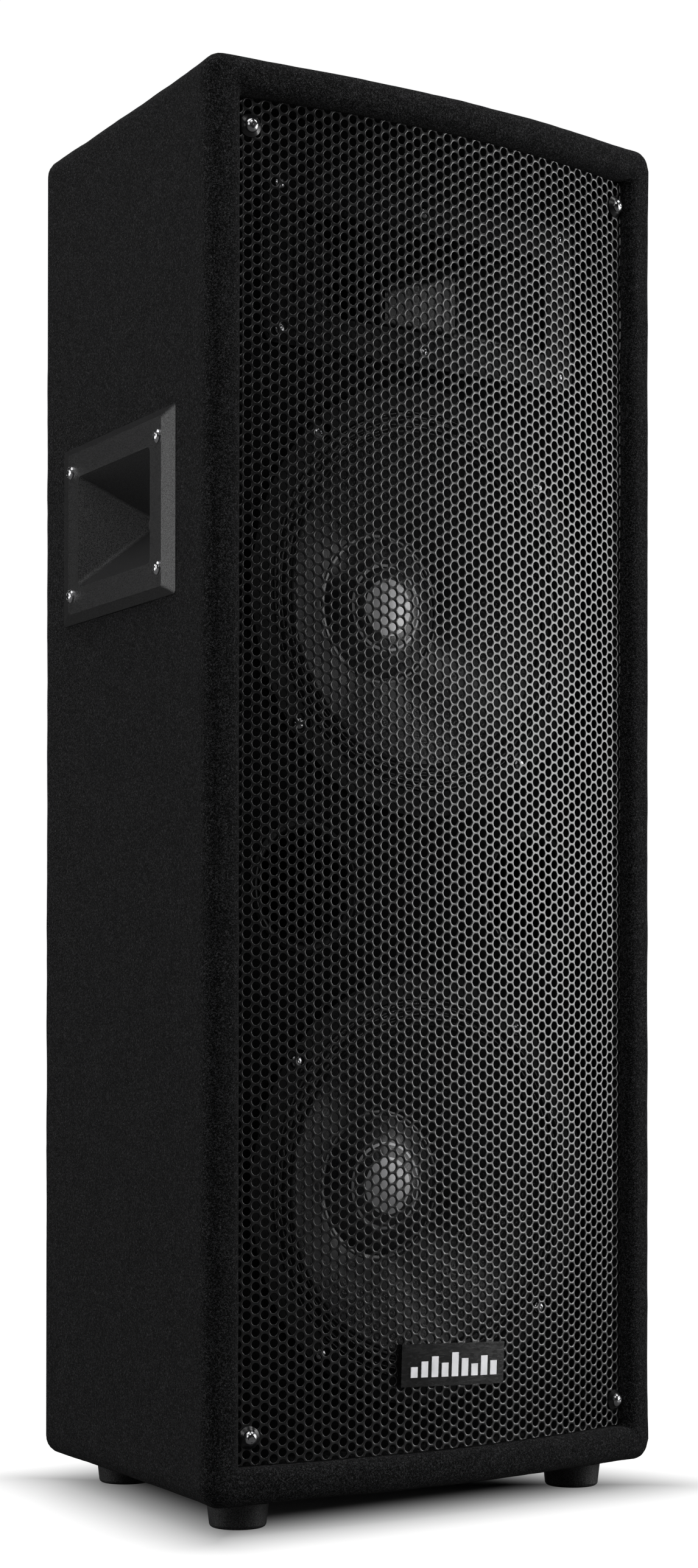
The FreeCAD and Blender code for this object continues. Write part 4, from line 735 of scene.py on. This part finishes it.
def edge_roll(name, centre):
    """Pleated cloth edge: three folds, crimped round the ring where the cloth was pressed."""
    line = [(CLOTH_OUTER, CLOTH_SEAT), (RING_INNER + CLOTH_GAUGE, CLOTH_SEAT)]
    for n in range(EDGE_STEPS + 1):
        share = n / EDGE_STEPS
        radius = RING_INNER + (CONE_EDGE - RING_INNER) * share
        lift = ROLL_LIFT * math.sin(math.pi * min(1, share * ROLL_LIFT_PACE) / 2)
        line.append((radius, CLOTH_SEAT - lift - ROLL_HEIGHT * math.sin(share * ROLLS * 2 * math.pi)))
    line += CLOTH_HEELS

    def crimp(radius, along, angle):
        outer = np.clip((RING_INNER - radius) / CRIMP_FADE, 0, 1)
        inner = np.clip((radius - CONE_EDGE) / CRIMP_FADE, 0, 1)
        return CRIMP_HEIGHT * (outer * inner) * np.sin(PLEATS * angle) * np.sin(radius * CRIMP_PACE)

    piece = lathe(name + "_edge_roll", sheet_profile(line, CLOTH_GAUGE), (centre.x, baffle_y, centre.z),
                  FINISHES["surround_cloth"], PLEATS * PLEAT_STEPS, crimp, CLOTH_CREASE)
    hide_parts(name + "_surround")
    follow(piece, centre, RING_INNER, CONE_EDGE)


def bead_profile(radius, half_width, deep, half_height):
    """An oval section round a driver's axis."""
    turns = np.linspace(0, 2 * math.pi, BEAD_STEPS, endpoint=False)
    return [(radius + half_width * math.cos(t), deep - half_height * math.sin(t)) for t in turns][::-1]


def cone_and_cap(name, body, centre, cone_finish):
    """The paper cone with its edge bead, and the dust cap with its glue bead and silver print."""
    base = (centre.x, baffle_y, centre.z)
    line = list(CONE_FLANGE) + [(r, cone_depth_at(r)) for r in np.linspace(SURROUND_INNER, FORMER, 28)]
    cone = lathe(name + "_cone_paper", sheet_profile(line, CONE_GAUGE), base, cone_finish, CONE_STEPS)
    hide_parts(name + "_cone")
    bead = lathe(name + "_edge_bead", bead_profile(*EDGE_BEAD), base, FINISHES["trim_ring"], CONE_STEPS)
    glue = lathe(name + "_glue_bead", bead_profile(*GLUE_BEAD), base, FINISHES["cap_paper"], CAP_STEPS)
    bend_radius = (CAP ** 2 + CAP_RISE ** 2) / (2 * CAP_RISE)

    def dome(radius):
        return CAP_SEAT - CAP_RISE + bend_radius - math.sqrt(bend_radius ** 2 - radius ** 2)

    shell = [(r, dome(r)) for r in np.linspace(CAP, 0, 20)]
    cap = lathe(name + "_cap_dome", sheet_profile(shell, CAP_GAUGE), base, FINISHES["cap_paper"], CAP_STEPS)
    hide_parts(name + "_dust_cap")
    prints = []
    for label, inner, outer in PRINTS:
        face = [(r, dome(r) - PRINT_RAISE) for r in np.linspace(outer, inner, 8)]
        prints.append(lathe("%s_cap_%s" % (name, label), sheet_profile(face, PRINT_GAUGE), base, SILVER, 128))
    for piece in [cone, bead, glue, cap] + prints:
        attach(piece, body)


def spider(name, centre):
    """The rippled cloth disc that centres the voice coil."""
    rim, both_rims = SPIDER_RIMS
    line = [(SPIDER_OUTER, SPIDER_DEPTH)]
    for n in range(SPIDER_STEPS + 1):
        share = n / SPIDER_STEPS
        line.append((SPIDER_OUTER - rim - (SPIDER_OUTER - both_rims - FORMER) * share,
                     SPIDER_DEPTH + SPIDER_ROLL_HEIGHT * math.sin(share * SPIDER_ROLLS * 2 * math.pi)))
    line.append((FORMER, SPIDER_DEPTH))
    piece = lathe(name + "_spider_disc", sheet_profile(line, SPIDER_GAUGE), (centre.x, baffle_y, centre.z),
                  FINISHES["spider_cloth"], 128, crease=CLOTH_CREASE)
    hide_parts(name + "_spider")
    follow(piece, centre, SPIDER_OUTER - 0.004, FORMER + 0.004)


# ---------------------------------------------------------------- damping pad and film
PAD_STEPS = 26
PAD_FILL = 0.97             # the pad's share of its solid
PAD_SQUARENESS = 6
PAD_FLUFF = ((40, 0.5), (110, 0.3))     # (waves per metre, weight)
PAD_DIMPLE = 0.006


def wadding_pad():
    """A fluffy pad: a rounded block whose faces swell and dimple."""
    low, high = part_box("damping_wadding")
    middle, half = (low + high) / 2, (high - low) / 2
    grid = np.linspace(-1, 1, PAD_STEPS)
    points, faces = [], []
    for axis in range(3):
        for side in (-1, 1):
            offset = len(points)
            for u in grid:
                for v in grid:
                    place = [0.0, 0.0, 0.0]
                    place[axis] = side
                    place[(axis + 1) % 3], place[(axis + 2) % 3] = u, v
                    points.append(place)
            for r in range(PAD_STEPS - 1):
                for c in range(PAD_STEPS - 1):
                    n = offset + r * PAD_STEPS + c
                    quad = (n, n + PAD_STEPS, n + PAD_STEPS + 1, n + 1)
                    faces.append(quad if side > 0 else quad[::-1])
    shaped = []
    for place in points:
        cube = Vector(place)
        power = sum(abs(c) ** PAD_SQUARENESS for c in cube) ** (1 / PAD_SQUARENESS)
        spot = Vector([middle[k] + half[k] * PAD_FILL * cube[k] / power for k in range(3)])
        fluff = sum(noise.noise(spot * pace) * weight for pace, weight in PAD_FLUFF)
        shaped.append([spot[k] + cube[k] * min(0, fluff - 0.25) * PAD_DIMPLE for k in range(3)])
    points, faces = merge_points(np.array(shaped), faces, 1e-5)
    pad = make_mesh("wadding_pad", points, faces, FINISHES["wadding"], 180)
    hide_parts("damping_wadding")
    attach(pad, CABINET)


def driver_suspension():
    """Rolled film that carries the horn driver's dome."""
    centre = centre_of("horn_diaphragm")
    low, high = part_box("horn_diaphragm_suspension")
    roll, width, height = FILM_ROLL
    line = [(FILM_OUTER, low.y), (roll + 0.0002, low.y)]
    for n in range(FILM_STEPS + 1):
        share = n / FILM_STEPS
        line.append((roll - width * share, low.y + height * math.sin(share * math.pi)))
    piece = lathe("driver_suspension_film", sheet_profile(line, FILM_GAUGE), (centre.x, 0.0, centre.z),
                  FINISHES["suspension_film"], 96, crease=CLOTH_CREASE)
    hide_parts("horn_diaphragm_suspension")
    follow(piece, centre, roll, 0.0205)


# ---------------------------------------------------------------- studio
SWEEP = 8.0                 # radius and height of the sweep
PAINTED_SHADOW_REACH = (-0.078, 0.085)     # the painted shadow's start under the cabinet's edge, and its end outside
AIR = 0.02                  # what the world gives, while the camera sees it white
PAPER_GLOW = 0.005


def seen_only(tree, socket, seen, given):
    """A strength that the camera sees, and another that lights the object."""
    path = tree.nodes.new("ShaderNodeLightPath")
    scale = tree.nodes.new("ShaderNodeMapRange")
    scale.inputs["To Min"].default_value = given
    scale.inputs["To Max"].default_value = seen
    tree.links.new(path.outputs["Is Camera Ray"], scale.inputs["Value"])
    tree.links.new(scale.outputs["Result"], socket)
    return scale


def painted_contact_shadow(paper):
    """Painted contact shadow: the glow that the camera sees on the paper is none well under the cabinet, and
    rises to full a little outside its plan.
    """
    back_half = CASE_WIDTH / 2 - depth * math.tan(SIDE_TAPER)
    half = paper.span(paper.axis("Y"), front_y, back_y, CASE_WIDTH / 2, back_half)
    past_side = paper.math("SUBTRACT", paper.math("ABSOLUTE", paper.axis("X")), half)
    swell = paper.math("SUBTRACT", paper.axis("Y"), (front_y - CASE_BOW / 2 + back_y) / 2)
    past_end = paper.math("SUBTRACT", paper.math("ABSOLUTE", swell), (back_y - front_y + CASE_BOW / 2) / 2)
    inside = paper.math("MAXIMUM", past_side, past_end)
    reach_x = paper.math("MAXIMUM", past_side, 0.0)
    reach_y = paper.math("MAXIMUM", past_end, 0.0)
    square = paper.math("ADD", paper.math("POWER", reach_x, 2.0), paper.math("POWER", reach_y, 2.0))
    away = paper.math("ADD", paper.math("SQRT", square), paper.math("MINIMUM", inside, 0.0))
    rise = paper.span(away, *PAINTED_SHADOW_REACH)
    return paper.math("MULTIPLY", paper.math("MULTIPLY", rise, rise),
                      paper.math("SUBTRACT", 3.0, paper.math("MULTIPLY", rise, 2.0)))


def studio():
    """A pale sweep that glows for the camera with a painted contact shadow under the cabinet, eight soft boxes
    that the camera doesn't see, and the air round them.
    """
    paper = Surface("pale_paper", (0.12, 0.12, 0.12), 0.85, emission_color=(1, 1, 1, 1))
    glow = seen_only(paper.tree, paper.shader.inputs["Emission Strength"], 1.0, PAPER_GLOW)
    paper.link(painted_contact_shadow(paper), glow.inputs["To Max"])
    arc = [(SWEEP * math.cos(t), SWEEP * math.sin(t)) for t in np.linspace(0, 2 * math.pi, 96, endpoint=False)]
    rings = [(0.0, 0.0)] + [(0.2 + 0.8 * n / 6, 0.0) for n in range(7)]
    rings += [(1.0 + 0.25 * math.sin(t), 0.25 * (1 - math.cos(t))) for t in np.linspace(0.2, math.pi / 2, 7)]
    rings += [(1.25, 1.0)]
    points = np.array([(x * scale, y * scale, SWEEP * rise) for scale, rise in rings for x, y in arc])
    points, faces = merge_points(points, loop_faces(len(rings), len(arc)))
    floor = make_mesh("studio_sweep", points, [face[::-1] for face in faces], paper.material, 60)

    def soft_box(name, place, aim, width, height, power):
        light = bpy.data.lights.new(name, "AREA")
        light.shape = "RECTANGLE"
        light.size = width
        light.size_y = height
        light.energy = power
        lamp = bpy.data.objects.new(name, light)
        lamp.location = place
        lamp.rotation_mode = "QUATERNION"
        lamp.rotation_quaternion = (Vector(aim) - Vector(place)).to_track_quat("-Z", "Y")
        lamp.visible_camera = False
        bpy.context.scene.collection.objects.link(lamp)

    soft_box("right_soft_box", (2.3, -1.6, 0.8), (0, 0, 0.5), 1.6, 1.4, 46)
    soft_box("upper_right_soft_box", (1.7, -1.1, 2.9), (0, 0, 0.6), 1.2, 0.9, 16)
    soft_box("front_left_soft_box", (-2.1, -1.9, 1.5), (0, 0, 0.6), 0.7, 1.1, 9)
    soft_box("front_top_soft_box", (-0.3, -2.0, 2.4), (0, 0, 0.5), 0.9, 0.7, 7)
    soft_box("left_soft_box", (-2.7, 0.5, 0.9), (0, 0, 0.6), 0.5, 1.6, 6)
    soft_box("rear_left_soft_box", (-2.2, 1.75, 0.9), (0, 0, 0.6), 1.0, 1.8, 22)
    soft_box("rear_right_soft_box", (1.2, 2.6, 1.4), (0, 0, 0.6), 1.0, 1.8, 22)
    soft_box("top_soft_box", (-1.0, -0.3, 2.9), (0, 0, 0.2), 2.0, 2.0, 36)
    world = bpy.data.worlds.new("studio_air")
    world.use_nodes = True
    background = world.node_tree.nodes["Background"]
    background.inputs["Color"].default_value = (1, 1, 1, 1)
    seen_only(world.node_tree, background.inputs["Strength"], 1.0, AIR)
    bpy.context.scene.world = world
    bpy.context.scene.view_settings.view_transform = "Standard"


def camera():
    """A long lens a little below the middle, turned to the left front corner, with a vertical shift."""
    data = bpy.data.cameras.new("camera")
    data.lens = 72.4746
    data.sensor_width = 36
    data.sensor_fit = "AUTO"
    data.shift_y = 0.13484
    eye = bpy.data.objects.new("camera", data)
    eye.location = (-1.47294, front_y - 1.72198, 0.35358)
    yaw, pitch, roll = math.radians(38.841), math.radians(0.3885), math.radians(-0.0517)
    eye.rotation_euler = (math.pi / 2 + pitch, roll, -yaw)
    bpy.context.scene.collection.objects.link(eye)
    bpy.context.scene.camera = eye


dress_nodes()
carpet_skin()
perforated_grille()
for name, centre, finish in (("upper", UPPER, FINISHES["cone_paper"]), ("lower", LOWER, cone_material(LOWER))):
    body = name + "_cone_assembly"
    edge_roll(name, centre)
    cone_and_cap(name, body, centre, finish)
    spider(name, centre)
wadding_pad()
driver_suspension()
studio()
camera()
